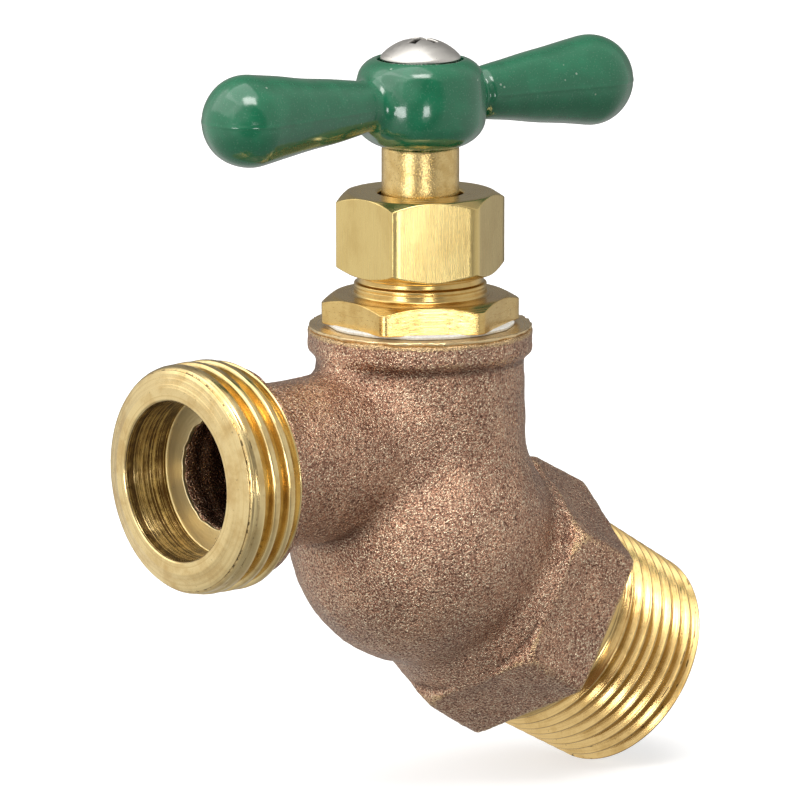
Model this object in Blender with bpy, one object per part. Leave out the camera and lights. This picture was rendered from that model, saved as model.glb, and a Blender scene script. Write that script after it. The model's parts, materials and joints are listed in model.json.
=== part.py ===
"""A 3/4 inch no-kink hose bib: a compression tap with a pipe-thread inlet and a hose-thread outlet.

The stem's axis is vertical (+Z), the outlet points along -X, and the inlet slopes down and away
along +X, 30 degrees below level. The plane Y = 0 divides the casting into mirror halves. The origin
is the centre of the inlet's end face. The valve is modelled closed.

Heights are measured from the outlet's axis, where it crosses the stem's axis. Distances "along the
inlet" are measured from the point where the inlet's axis crosses the stem's axis.
"""

import math

import bmesh
import bpy
from mathutils import Matrix

MM = 0.001

# Clearance between pieces that touch or turn in each other.
GAP = 0.3 * MM

# How deep a joined shape's foot is buried in the shape under it.
BURIED = 0.1 * MM

# The usual small chamfer on a turned edge.
EASE = 0.4 * MM

# Layout of the three axes.
INLET_SLOPE = math.radians(30.0)
INLET_CROSSING = -12.48 * MM
INLET_LENGTH = 37.3 * MM
OUTLET_LENGTH = 37.07 * MM

# The casting's outside.
COLLAR_RADIUS = 13.25 * MM
COLLAR_TOP = 14.25 * MM
COLLAR_BOTTOM = 11.8 * MM
NECK_RADIUS = 12.3 * MM
GLOBE_RADIUS = 15.6 * MM
GLOBE_CENTRE = -10.9 * MM
GLOBE_FILLET = 8.0 * MM
OUTLET_TUBE_RADIUS = 9.7 * MM
SHOULDER_RADIUS = 13.6 * MM
WRENCH_START = 9.9 * MM
WRENCH_END = 20.0 * MM
WRENCH_CORNER = 16.5 * MM
WRENCH_ROUND = 16.3 * MM
WRENCH_SLANT = 1.1 * MM

# 3/4 inch garden-hose thread, 11.5 to the inch.
HOSE_PITCH = 25.4 * MM / 11.5
HOSE_CREST = 13.49 * MM
HOSE_ROOT = 12.1 * MM
HOSE_THREAD_START = 28.0 * MM
HOSE_FIRST_CREST = 28.75 * MM
HOSE_LAND_START = 35.0 * MM
HOSE_NOSE_START = 35.9 * MM
HOSE_NOSE_MIDDLE = 36.35 * MM
HOSE_NOSE_RADIUS = 12.9 * MM
HOSE_FACE_RADIUS = 10.9 * MM
HOSE_RIDGE_WIDTHS = (0.5 * MM, 1.9 * MM)

# 3/4 inch tapered pipe thread, 14 to the inch, 1 in 16 on the diameter.
PIPE_PITCH = 25.4 * MM / 14.0
PIPE_END_CREST = 13.1 * MM
PIPE_LAST_CREST = 36.3 * MM
PIPE_TAPER = 1.0 / 32.0
PIPE_DEPTH = 1.3 * MM
PIPE_END_RADIUS = 11.3 * MM
PIPE_RIDGE_WIDTHS = (0.25 * MM, 1.6 * MM)

# The casting's waterway.
BONNET_BORE = 9.85 * MM
BONNET_BORE_FLOOR = 7.0 * MM
CHAMBER_RADIUS = 9.4 * MM
CHAMBER_FLOOR = -7.0 * MM
SEAT_TOP = -5.0 * MM
SEAT_LIP = 6.8 * MM
SEAT_BORE = 5.6 * MM
BRIDGE_UNDERSIDE = -9.8 * MM
GLOBE_WALL = 3.2 * MM
INLET_BORE = 8.6 * MM
INLET_BORE_START = 9.6 * MM
OUTLET_BORE = 9.36 * MM
OUTLET_BORE_DEPTH = 6.2 * MM
OUTLET_PASSAGE = 6.3 * MM

# Bonnet.
BONNET_BOTTOM = 8.0 * MM
BONNET_SHANK = BONNET_BORE - GAP
BONNET_HEX_BOTTOM = 14.9 * MM
BONNET_HEX_TOP = 17.8 * MM
BONNET_HEX_FLATS = 20.7 * MM
BONNET_HEX_ROUND = 11.71 * MM
BONNET_HEX_CHAMFER = 0.75 * MM
BONNET_HEX_TURN = math.radians(27.9)
BONNET_NECK = 7.83 * MM
BONNET_NECK_TOP = 20.0 * MM
BONNET_TOP = 27.6 * MM
BONNET_POCKET_RADIUS = 5.6 * MM
BONNET_POCKET_TOP = 10.5 * MM
BONNET_THREAD_TOP = 17.0 * MM
BONNET_RELIEF = 6.0 * MM
PACKING_BORE = 6.4 * MM
PACKING_FLOOR = 21.7 * MM

# Packing nut.
NUT_BOTTOM = 20.5 * MM
NUT_TOP = 30.0 * MM
NUT_CORNER = 10.24 * MM
NUT_CHAMFER = 1.0 * MM
NUT_TURN = math.radians(31.4)
NUT_BORE = 7.8 * MM
NUT_CEILING = 28.5 * MM
NUT_STEM_HOLE = 5.05 * MM

# Packing, from the bottom up.
PACKING_INNER = 4.88 * MM
PACKING_OUTER = 6.1 * MM
PACKING_WASHER_THICK = 0.5 * MM
PACKING_RING_THICK = 0.98 * MM

# Gasket under the bonnet's hexagon.
GASKET_BOTTOM = 14.45 * MM
GASKET_TOP = 14.7 * MM
GASKET_OUTER = 11.2 * MM

# Stem and its thread, 10 to the inch, right-handed.
STEM_RADIUS = 4.58 * MM
STEM_PITCH = 2.54 * MM
STEM_CREST = 5.55 * MM
STEM_THREAD_BOTTOM = 5.0 * MM
STEM_THREAD_TOP = 15.0 * MM
STEM_THREAD_CREST_WIDTH = 0.65 * MM
STEM_THREAD_ROOT_WIDTH = 1.1 * MM
STEM_BUTTON_RADIUS = 3.3 * MM
STEM_BUTTON_BOTTOM = 1.5 * MM
STEM_BUTTON_TOP = 2.7 * MM
STEM_SWIVEL_RADIUS = 2.4 * MM
STEM_FOOT = 4.1 * MM
STEM_SHOULDER = 35.6 * MM
STEM_SQUARE = 6.2 * MM
STEM_TOP = 43.0 * MM
STEM_TAPPED_FLOOR = 36.6 * MM

# Washer holder, rubber washer and their screw.
DISC_RADIUS = 8.1 * MM
DISC_RIM_BOTTOM = -3.3 * MM
DISC_PLATE_BOTTOM = -1.6 * MM
DISC_PLATE_TOP = 1.2 * MM
DISC_BOSS_RADIUS = 5.0 * MM
DISC_BOSS_TOP = 3.8 * MM
SEAT_WASHER_RADIUS = 7.0 * MM
SEAT_WASHER_TOP = DISC_PLATE_BOTTOM - GAP
SEAT_WASHER_BOTTOM = SEAT_TOP + GAP
SEAT_WASHER_HOLE = 2.3 * MM
RETAINER_RADIUS = 4.2 * MM
RETAINER_TOP = SEAT_WASHER_BOTTOM - GAP
RETAINER_THICK = 0.6 * MM
SEAT_SCREW_RADIUS = 1.9 * MM
SEAT_SCREW_HEAD = 3.2 * MM
SEAT_SCREW_HEAD_DEPTH = 1.4 * MM

# Handle.
HUB_BOTTOM = 35.9 * MM
HUB_TOP = 46.0 * MM
HUB_RADIUS = 7.8 * MM
HUB_SHOULDER_RADIUS = 7.5 * MM
HUB_LOWER_ROUND = 3.4 * MM
HUB_UPPER_ROUND = 2.5 * MM
ARM_HEIGHT = 40.84 * MM
ARM_NECK = 2.95 * MM
ARM_REACH = 25.4 * MM
ARM_BULB = 5.4 * MM
ARM_TURN = math.radians(-1.6)
HANDLE_RECESS = 5.1 * MM
HANDLE_RECESS_FLOOR = 44.4 * MM
HANDLE_SOCKET_TOP = 43.4 * MM

# Handle screw and its lock washer.
SCREW_HEAD = 4.78 * MM
SCREW_HEAD_BOTTOM = 45.7 * MM
SCREW_HEAD_EDGE = 0.35 * MM
SCREW_HEAD_TOP = 48.25 * MM
SCREW_SHANK = 1.9 * MM
SCREW_TIP = 37.4 * MM
SCREW_HOLE = 2.25 * MM
RECESS_SIZE = (4.2 * MM, 0.8 * MM, 3.0 * MM)
RECESS_TURN = math.radians(20.0)
WASHER_RADIUS = 4.3 * MM
WASHER_BOTTOM = 44.7 * MM
WASHER_TOP = 45.4 * MM
WASHER_SPLIT = 0.6 * MM


# ---------------------------------------------------------------- small tools

def clear_scene():
    """Remove every object, so that the script can be run again."""
    for thing in list(bpy.data.objects):
        bpy.data.objects.remove(thing, do_unlink=True)


def empty(name, location, rotation=None, parent=None):
    """An axis or frame: pieces are placed by hanging them on one."""
    guide = bpy.data.objects.new(name, None)
    bpy.context.scene.collection.objects.link(guide)
    guide.empty_display_size = 5.0 * MM
    guide.parent = parent
    guide.location = location
    if rotation is not None:
        guide.rotation_euler = rotation
    return guide


def material(name, colour, roughness, metallic):
    """A plain Principled material."""
    made = bpy.data.materials.new(name)
    made.use_nodes = True
    shader = made.node_tree.nodes["Principled BSDF"]
    shader.inputs["Base Color"].default_value = (*colour, 1.0)
    shader.inputs["Roughness"].default_value = roughness
    shader.inputs["Metallic"].default_value = metallic
    return made


def solid(name, bm, parent, finish=None):
    """Turn a closed bmesh into a named object, with its faces pointing out."""
    bmesh.ops.recalc_face_normals(bm, faces=bm.faces)
    mesh = bpy.data.meshes.new(name)
    bm.to_mesh(mesh)
    bm.free()
    mesh.shade_smooth()
    mesh.set_sharp_from_angle(angle=math.radians(30.0))
    piece = bpy.data.objects.new(name, mesh)
    bpy.context.scene.collection.objects.link(piece)
    piece.parent = parent
    if finish is not None:
        mesh.materials.append(finish)
    return piece


def turned(name, profile, sides, parent, finish=None, turn=0.0):
    """Revolve a closed outline of (radius, height) points round the local Z axis."""
    bm = bmesh.new()
    rings = []
    for radius, height in profile:
        if radius < 1e-7:
            rings.append([bm.verts.new((0.0, 0.0, height))])
            continue
        ring = []
        for side in range(sides):
            angle = turn + 2.0 * math.pi * side / sides
            ring.append(bm.verts.new((radius * math.cos(angle), radius * math.sin(angle), height)))
        rings.append(ring)
    for lower, upper in zip(rings, rings[1:] + rings[:1]):
        if len(lower) == 1 and len(upper) == 1:
            continue
        for side in range(sides):
            following = (side + 1) % sides
            corners = [lower[side % len(lower)], lower[following % len(lower)],
                       upper[following % len(upper)], upper[side % len(upper)]]
            bm.faces.new(list(dict.fromkeys(corners)))
    return solid(name, bm, parent, finish)


def bar(name, size, centre, parent, turn=0.0):
    """A straight bar across the local Z axis, used to cut slots."""
    bm = bmesh.new()
    corners = bmesh.ops.create_cube(bm, size=1.0)["verts"]
    bmesh.ops.scale(bm, vec=size, verts=corners)
    bmesh.ops.rotate(bm, matrix=Matrix.Rotation(turn, 3, "Z"), verts=corners)
    bmesh.ops.translate(bm, vec=centre, verts=corners)
    return solid(name, bm, parent)


def prism(name, corner_radius, sides, bottom, top, parent, finish=None, turn=0.0):
    """A regular prism standing on the local XY plane."""
    outline = [(0.0, bottom), (corner_radius, bottom), (corner_radius, top), (0.0, top)]
    return turned(name, outline, sides, parent, finish, turn)


def thread(name, crest_at, root_at, widths, pitch, start, end, sides, parent, finish=None):
    """A right-handed helical ridge: crest_at and root_at give its radii at each height.

    widths are the ridge's width at the crest and at the root. The heights start and end are where
    the middle of the ridge begins and stops.
    """
    bm = bmesh.new()
    crest_half = widths[0] / 2.0
    root_half = widths[1] / 2.0
    steps = round(sides * (end - start) / pitch)
    loops = []
    for step in range(steps + 1):
        angle = 2.0 * math.pi * step / sides
        middle = start + pitch * step / sides
        section = [(root_at(middle), middle - root_half), (crest_at(middle), middle - crest_half),
                   (crest_at(middle), middle + crest_half), (root_at(middle), middle + root_half)]
        loops.append([bm.verts.new((r * math.cos(angle), r * math.sin(angle), h)) for r, h in section])
    for before, after in zip(loops, loops[1:]):
        for corner in range(4):
            following = (corner + 1) % 4
            bm.faces.new([before[corner], before[following], after[following], after[corner]])
    bm.faces.new(loops[0])
    bm.faces.new(loops[-1])
    return solid(name, bm, parent, finish)


def arc(centre_radius, centre_height, radius, first, last, steps):
    """Points along an arc in the (radius, height) plane, angles in degrees from straight out."""
    points = []
    for step in range(steps + 1):
        angle = math.radians(first + (last - first) * step / steps)
        points.append((centre_radius + radius * math.cos(angle), centre_height + radius * math.sin(angle)))
    return points


def shape_with(piece, tool, operation, solver):
    """Combine a tool with a piece by a Boolean, and keep the tool as a guide."""
    modifier = piece.modifiers.new(tool.name, "BOOLEAN")
    modifier.operation = operation
    modifier.solver = solver
    modifier.object = tool
    tool.hide_render = True
    tool.display_type = "WIRE"


def add(piece, tool, solver="EXACT"):
    shape_with(piece, tool, "UNION", solver)


def cut(piece, tool, solver="EXACT"):
    shape_with(piece, tool, "DIFFERENCE", solver)


def keep_inside(piece, tool, solver="EXACT"):
    shape_with(piece, tool, "INTERSECT", solver)


def ring(name, inner, outer, bottom, top, sides, parent, finish):
    """A plain flat ring."""
    outline = [(inner, bottom), (outer, bottom), (outer, top), (inner, top)]
    return turned(name, outline, sides, parent, finish)


# ---------------------------------------------------------------- the casting

def globe_outline():
    """Half the outside of collar, neck and globe, from the top down."""
    reach = NECK_RADIUS + GLOBE_FILLET
    fillet_height = GLOBE_CENTRE + math.sqrt((GLOBE_RADIUS + GLOBE_FILLET) ** 2 - reach ** 2)
    meeting = math.degrees(math.atan2(fillet_height - GLOBE_CENTRE, reach))
    step = COLLAR_RADIUS - NECK_RADIUS
    outline = [(0.0, COLLAR_TOP), (COLLAR_RADIUS, COLLAR_TOP)]
    outline += arc(COLLAR_RADIUS - step, COLLAR_BOTTOM, step, 0.0, -90.0, 3)[:-1]
    outline += [(NECK_RADIUS, COLLAR_BOTTOM - 1.3 * step)]
    outline += arc(reach, fillet_height, GLOBE_FILLET, 180.0, 180.0 + meeting, 4)
    outline += arc(0.0, GLOBE_CENTRE, GLOBE_RADIUS, meeting, -90.0, 12)[1:-1]
    outline += [(0.0, GLOBE_CENTRE - GLOBE_RADIUS)]
    return outline


def outlet_outline():
    """The cast tube and the hose thread's core, along the outlet's axis."""
    inside_globe = 3.0 * MM
    return [(0.0, inside_globe), (OUTLET_TUBE_RADIUS, inside_globe),
            (OUTLET_TUBE_RADIUS, HOSE_THREAD_START - GAP), (HOSE_ROOT, HOSE_THREAD_START),
            (HOSE_ROOT, HOSE_LAND_START - EASE), (HOSE_CREST, HOSE_LAND_START),
            (HOSE_CREST, HOSE_NOSE_START), (HOSE_NOSE_RADIUS, HOSE_NOSE_MIDDLE),
            (HOSE_FACE_RADIUS, OUTLET_LENGTH), (0.0, OUTLET_LENGTH)]


def inlet_outline():
    """The round shoulder under the wrench hexagon, along the inlet's axis."""
    return [(0.0, 0.0), (SHOULDER_RADIUS, 0.0), (SHOULDER_RADIUS, WRENCH_END - GAP),
            (0.0, WRENCH_END - GAP)]


def pipe_crest(along):
    """The tapered thread's crest radius at a distance along the inlet."""
    return PIPE_END_CREST + PIPE_TAPER * (PIPE_LAST_CREST - along)


def pipe_root(along):
    """The foot of the tapered thread's ridge, just inside the core."""
    return pipe_crest(along) - PIPE_DEPTH - BURIED


def pipe_core_outline():
    """The body of the tapered pipe thread, along the inlet's axis."""
    hidden = WRENCH_END - 2.0 * MM
    return [(0.0, hidden), (pipe_crest(hidden) - PIPE_DEPTH, hidden),
            (PIPE_END_CREST - PIPE_DEPTH, PIPE_LAST_CREST), (PIPE_END_RADIUS, INLET_LENGTH),
            (0.0, INLET_LENGTH)]


def chamber_outline():
    """The bonnet's bore, the upper chamber, the raised seat and the hole through it."""
    above = COLLAR_TOP + 1.0 * MM
    return [(0.0, above), (BONNET_BORE, above), (BONNET_BORE, BONNET_BORE_FLOOR),
            (CHAMBER_RADIUS, BONNET_BORE_FLOOR - (BONNET_BORE - CHAMBER_RADIUS)),
            (CHAMBER_RADIUS, CHAMBER_FLOOR), (SEAT_LIP + 0.5 * MM, CHAMBER_FLOOR), (SEAT_LIP, SEAT_TOP),
            (SEAT_BORE, SEAT_TOP), (SEAT_BORE, BRIDGE_UNDERSIDE - 1.0 * MM),
            (0.0, BRIDGE_UNDERSIDE - 1.0 * MM)]


def lower_chamber_outline():
    """The hollow of the globe below the bridge."""
    inside = GLOBE_RADIUS - GLOBE_WALL
    top_angle = math.degrees(math.asin((BRIDGE_UNDERSIDE - GLOBE_CENTRE) / inside))
    outline = [(0.0, BRIDGE_UNDERSIDE)]
    outline += arc(0.0, GLOBE_CENTRE, inside, top_angle, -90.0, 8)[:-1]
    return outline + [(0.0, GLOBE_CENTRE - inside)]


def outlet_bore_outline():
    """The hose end's bore and the passage behind it, along the outlet's axis."""
    step = OUTLET_LENGTH - OUTLET_BORE_DEPTH
    inside_chamber = 5.0 * MM
    return [(0.0, inside_chamber), (OUTLET_PASSAGE, inside_chamber), (OUTLET_PASSAGE, step - EASE),
            (OUTLET_PASSAGE + EASE, step), (OUTLET_BORE, step), (OUTLET_BORE, OUTLET_LENGTH - GAP),
            (OUTLET_BORE + 2.0 * GAP, OUTLET_LENGTH + GAP), (0.0, OUTLET_LENGTH + GAP)]


def inlet_bore_outline():
    """The inlet's bore, along the inlet's axis."""
    return [(0.0, INLET_BORE_START), (INLET_BORE, INLET_BORE_START), (INLET_BORE, INLET_LENGTH - GAP),
            (INLET_BORE + 0.8 * MM, INLET_LENGTH + 0.5 * MM), (0.0, INLET_LENGTH + 0.5 * MM)]


def make_wrench_hexagon(inlet_axis):
    """The cast hexagon, its corners rounded over at both ends."""
    wrench = prism("wrench_hexagon", WRENCH_CORNER, 6, WRENCH_START, WRENCH_END, inlet_axis)
    rounding = [(0.0, WRENCH_START), (WRENCH_ROUND - WRENCH_SLANT, WRENCH_START),
                (WRENCH_ROUND, WRENCH_START + WRENCH_SLANT), (WRENCH_ROUND, WRENCH_END - WRENCH_SLANT),
                (WRENCH_ROUND - WRENCH_SLANT, WRENCH_END), (0.0, WRENCH_END)]
    keep_inside(wrench, turned("wrench_rounding", rounding, 36, inlet_axis))
    return wrench


def make_body(valve, outlet_axis, inlet_axis, finish):
    """One casting: collar, neck, globe, outlet with hose thread, wrench hexagon, pipe thread."""
    body = turned("body", globe_outline(), 44, valve, finish)
    outside = [turned("outlet_tube", outlet_outline(), 36, outlet_axis),
               turned("inlet_shoulder", inlet_outline(), 32, inlet_axis),
               make_wrench_hexagon(inlet_axis),
               turned("pipe_core", pipe_core_outline(), 28, inlet_axis),
               thread("pipe_ridge", pipe_crest, pipe_root, PIPE_RIDGE_WIDTHS, PIPE_PITCH,
                      WRENCH_END + PIPE_PITCH / 2.0, PIPE_LAST_CREST, 28, inlet_axis),
               thread("hose_ridge", lambda along: HOSE_CREST, lambda along: HOSE_ROOT - BURIED,
                      HOSE_RIDGE_WIDTHS, HOSE_PITCH, HOSE_FIRST_CREST, HOSE_LAND_START, 32,
                      outlet_axis)]
    inside = [turned("upper_chamber", chamber_outline(), 32, valve),
              turned("lower_chamber", lower_chamber_outline(), 28, valve),
              turned("outlet_bore", outlet_bore_outline(), 32, outlet_axis),
              turned("inlet_bore", inlet_bore_outline(), 28, inlet_axis)]
    for shape in outside:
        add(body, shape, "MANIFOLD")
    for hollow in inside:
        cut(body, hollow, "MANIFOLD")
    return body


# ---------------------------------------------------------------- the bonnet and its nut

def hexagon(name, corner, bottom, top, chamfer, flats, turn, parent, finish=None):
    """A turned hexagon: a prism whose corners are chamfered and rounded at both ends."""
    piece = prism(name, flats / math.sqrt(3.0), 6, bottom, top, parent, finish, turn)
    inner = flats / 2.0
    rounding = [(0.0, bottom), (inner, bottom), (corner, bottom + chamfer), (corner, top - chamfer),
                (inner, top), (0.0, top)]
    keep_inside(piece, turned(name + "_rounding", rounding, 36, parent))
    return piece


def stem_ridge(name, clearance, start, end, parent):
    """The stem's thread, or the groove for it when a clearance is given."""
    return thread(name, lambda height: STEM_CREST + clearance,
                  lambda height: STEM_RADIUS - BURIED,
                  (STEM_THREAD_CREST_WIDTH + 2.0 * clearance, STEM_THREAD_ROOT_WIDTH + 2.0 * clearance),
                  STEM_PITCH, start, end, 24, parent)


def make_bonnet(valve, finish):
    """Screwed into the collar: it guides the stem, holds its thread and carries the packing."""
    groove = BONNET_NECK - 0.35 * MM
    thread_radius = NUT_BORE - GAP
    female_minor = STEM_RADIUS + GAP
    outline = [(BONNET_POCKET_RADIUS, BONNET_BOTTOM), (BONNET_SHANK, BONNET_BOTTOM),
               (BONNET_SHANK, BONNET_HEX_TOP - 1.0 * MM), (BONNET_NECK, BONNET_HEX_TOP - 1.0 * MM),
               (BONNET_NECK, BONNET_NECK_TOP - 0.8 * MM), (groove, BONNET_NECK_TOP - 0.6 * MM),
               (groove, BONNET_NECK_TOP), (thread_radius, BONNET_NECK_TOP + 0.2 * MM),
               (thread_radius, BONNET_TOP - EASE), (thread_radius - EASE, BONNET_TOP),
               (PACKING_BORE, BONNET_TOP), (PACKING_BORE, PACKING_FLOOR - GAP),
               (BONNET_RELIEF, PACKING_FLOOR - GAP), (BONNET_RELIEF, BONNET_THREAD_TOP),
               (female_minor, BONNET_THREAD_TOP - 0.5 * MM), (female_minor, BONNET_POCKET_TOP + 0.3 * MM),
               (BONNET_POCKET_RADIUS, BONNET_POCKET_TOP)]
    bonnet = turned("bonnet", outline, 36, valve, finish)
    collar = hexagon("bonnet_hexagon", BONNET_HEX_ROUND, BONNET_HEX_BOTTOM, BONNET_HEX_TOP,
                     BONNET_HEX_CHAMFER, BONNET_HEX_FLATS, BONNET_HEX_TURN, valve)
    step = BONNET_HEX_TOP - 1.5 * MM
    clear = [(0.0, BONNET_BOTTOM), (BONNET_SHANK - GAP, BONNET_BOTTOM), (BONNET_SHANK - GAP, step),
             (BONNET_NECK - GAP, step + BURIED), (BONNET_NECK - GAP, BONNET_NECK_TOP),
             (0.0, BONNET_NECK_TOP)]
    cut(collar, turned("bonnet_clear_bore", clear, 36, valve))
    add(bonnet, collar)
    turns_below = math.floor((STEM_THREAD_BOTTOM - BONNET_POCKET_TOP) / STEM_PITCH)
    start = STEM_THREAD_BOTTOM - (turns_below + 1) * STEM_PITCH
    cut(bonnet, stem_ridge("bonnet_thread", GAP, start, BONNET_THREAD_TOP + 0.9 * MM, valve))
    return bonnet


def make_packing_nut(valve, finish):
    """The nut that squeezes the packing."""
    flats = NUT_CORNER * math.sqrt(3.0)
    nut = hexagon("packing_nut", NUT_CORNER, NUT_BOTTOM, NUT_TOP, NUT_CHAMFER, flats, NUT_TURN, valve,
                  finish)
    bore = [(0.0, NUT_BOTTOM - 1.0 * MM), (NUT_BORE + 0.5 * MM, NUT_BOTTOM - 1.0 * MM),
            (NUT_BORE + EASE, NUT_BOTTOM), (NUT_BORE, NUT_BOTTOM + EASE), (NUT_BORE, NUT_CEILING),
            (NUT_STEM_HOLE, NUT_CEILING), (NUT_STEM_HOLE, NUT_TOP - GAP),
            (NUT_STEM_HOLE + 0.6 * MM, NUT_TOP + 0.3 * MM), (0.0, NUT_TOP + 0.3 * MM)]
    cut(nut, turned("packing_nut_bore", bore, 32, valve))
    return nut


def make_packing(valve, brass, packing):
    """A flat washer, three packing rings and the gland that presses on them."""
    level = PACKING_FLOOR
    ring("packing_washer", PACKING_INNER, PACKING_OUTER, level, level + PACKING_WASHER_THICK, 28, valve,
         brass)
    level += PACKING_WASHER_THICK + GAP
    for place in ("lower", "middle", "upper"):
        ring("packing_ring_" + place, PACKING_INNER, PACKING_OUTER, level, level + PACKING_RING_THICK, 28,
             valve, packing)
        level += PACKING_RING_THICK + GAP
    ring("packing_gland", PACKING_INNER, PACKING_OUTER, level, NUT_CEILING - GAP, 28, valve, brass)


# ---------------------------------------------------------------- stem, handle and their fastenings

def make_stem(stem_axis, finish):
    """The spindle: a swivel button, the lifting thread, a plain shaft and a square for the handle."""
    outline = [(0.0, STEM_BUTTON_BOTTOM), (STEM_BUTTON_RADIUS, STEM_BUTTON_BOTTOM),
               (STEM_BUTTON_RADIUS, STEM_BUTTON_TOP), (STEM_SWIVEL_RADIUS, STEM_BUTTON_TOP),
               (STEM_SWIVEL_RADIUS, STEM_FOOT), (STEM_RADIUS - EASE, STEM_FOOT),
               (STEM_RADIUS, STEM_FOOT + EASE), (STEM_RADIUS, STEM_SHOULDER - 0.3 * MM),
               (STEM_RADIUS - 0.3 * MM, STEM_SHOULDER), (0.0, STEM_SHOULDER)]
    stem = turned("stem", outline, 28, stem_axis, finish)
    add(stem, stem_ridge("stem_ridge", 0.0, STEM_THREAD_BOTTOM, STEM_THREAD_TOP - EASE, stem_axis))
    add(stem, prism("stem_square", STEM_SQUARE / math.sqrt(2.0), 4, STEM_SHOULDER - 1.0 * MM, STEM_TOP,
                    stem_axis, turn=ARM_TURN + math.radians(45.0)))
    cut(stem, prism("stem_tapped_hole", SCREW_SHANK + GAP, 24, STEM_TAPPED_FLOOR, STEM_TOP + 1.0 * MM,
                    stem_axis))
    return stem


def hub_outline():
    """Half the barrel-shaped hub, from the bottom up."""
    lower = arc(HUB_RADIUS - HUB_LOWER_ROUND, HUB_BOTTOM + HUB_LOWER_ROUND, HUB_LOWER_ROUND, -90.0, 0.0, 6)
    upper = arc(HUB_SHOULDER_RADIUS - HUB_UPPER_ROUND, HUB_TOP - HUB_UPPER_ROUND, HUB_UPPER_ROUND, 4.0,
                90.0, 4)
    return [(0.0, HUB_BOTTOM)] + lower + upper + [(0.0, HUB_TOP)]


def arm_outline():
    """Half an arm: a slim neck that swells in a straight taper to a round end."""
    inside_hub = 4.4 * MM
    leaves_hub = HUB_RADIUS - 0.4 * MM
    taper = math.degrees(math.asin((ARM_BULB - ARM_NECK) / (ARM_REACH - leaves_hub)))
    bulb = arc(0.0, ARM_REACH, ARM_BULB, -taper, 90.0, 9)[:-1]
    return [(0.0, inside_hub), (ARM_NECK, inside_hub), (ARM_NECK, leaves_hub)] + bulb + [
        (0.0, ARM_REACH + ARM_BULB)]


def make_handle(stem_axis, finish):
    """A tee handle: a barrel hub with two round-ended arms, square-socketed on the stem."""
    handle = turned("handle", hub_outline(), 32, stem_axis, finish)
    for side, turn in (("left", math.pi), ("right", 0.0)):
        arm_axis = empty("arm_axis_" + side, (0.0, 0.0, ARM_HEIGHT),
                         (0.0, math.pi / 2.0, ARM_TURN + turn), stem_axis)
        add(handle, turned("arm_" + side, arm_outline(), 24, arm_axis))
    socket = (STEM_SQUARE + 2.0 * GAP) / math.sqrt(2.0)
    cut(handle, prism("handle_socket", socket, 4, HUB_BOTTOM - 1.0 * MM, HANDLE_SOCKET_TOP, stem_axis,
                      turn=ARM_TURN + math.radians(45.0)))
    recess = [(0.0, HANDLE_SOCKET_TOP - 1.0 * MM), (SCREW_HOLE, HANDLE_SOCKET_TOP - 1.0 * MM),
              (SCREW_HOLE, HANDLE_RECESS_FLOOR), (HANDLE_RECESS, HANDLE_RECESS_FLOOR),
              (HANDLE_RECESS, HUB_TOP + 1.0 * MM), (0.0, HUB_TOP + 1.0 * MM)]
    cut(handle, turned("handle_recess", recess, 32, stem_axis))
    return handle


def make_handle_screw(stem_axis, finish):
    """A domed screw with a cross recess, threaded into the stem's square end."""
    dome = SCREW_HEAD_TOP - SCREW_HEAD_BOTTOM - SCREW_HEAD_EDGE
    base = SCREW_HEAD_BOTTOM + SCREW_HEAD_EDGE
    dome_radius = (SCREW_HEAD ** 2 + dome ** 2) / (2.0 * dome)
    edge_angle = math.degrees(math.acos(SCREW_HEAD / dome_radius))
    outline = [(0.0, SCREW_TIP), (SCREW_SHANK - 0.5 * MM, SCREW_TIP), (SCREW_SHANK, SCREW_TIP + 0.6 * MM),
               (SCREW_SHANK, SCREW_HEAD_BOTTOM), (SCREW_HEAD, SCREW_HEAD_BOTTOM)]
    outline += arc(0.0, base + dome - dome_radius, dome_radius, edge_angle, 90.0, 7)[:-1]
    outline += [(0.0, SCREW_HEAD_TOP)]
    screw = turned("handle_screw", outline, 28, stem_axis, finish)
    for name, turn in (("cross_recess_a", RECESS_TURN), ("cross_recess_b", RECESS_TURN + math.pi / 2.0)):
        cut(screw, bar(name, RECESS_SIZE, (0.0, 0.0, SCREW_HEAD_TOP), stem_axis, turn))
    return screw


def make_handle_washer(stem_axis, finish):
    """The split lock washer under the handle screw's head."""
    washer = ring("handle_washer", SCREW_SHANK + GAP, WASHER_RADIUS, WASHER_BOTTOM, WASHER_TOP, 24,
                  stem_axis, finish)
    split = (1.4 * WASHER_RADIUS, WASHER_SPLIT, 4.0 * (WASHER_TOP - WASHER_BOTTOM))
    cut(washer, bar("washer_split", split, (0.7 * WASHER_RADIUS, 0.0, WASHER_BOTTOM), stem_axis))
    return washer


# ---------------------------------------------------------------- the closing disc

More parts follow.
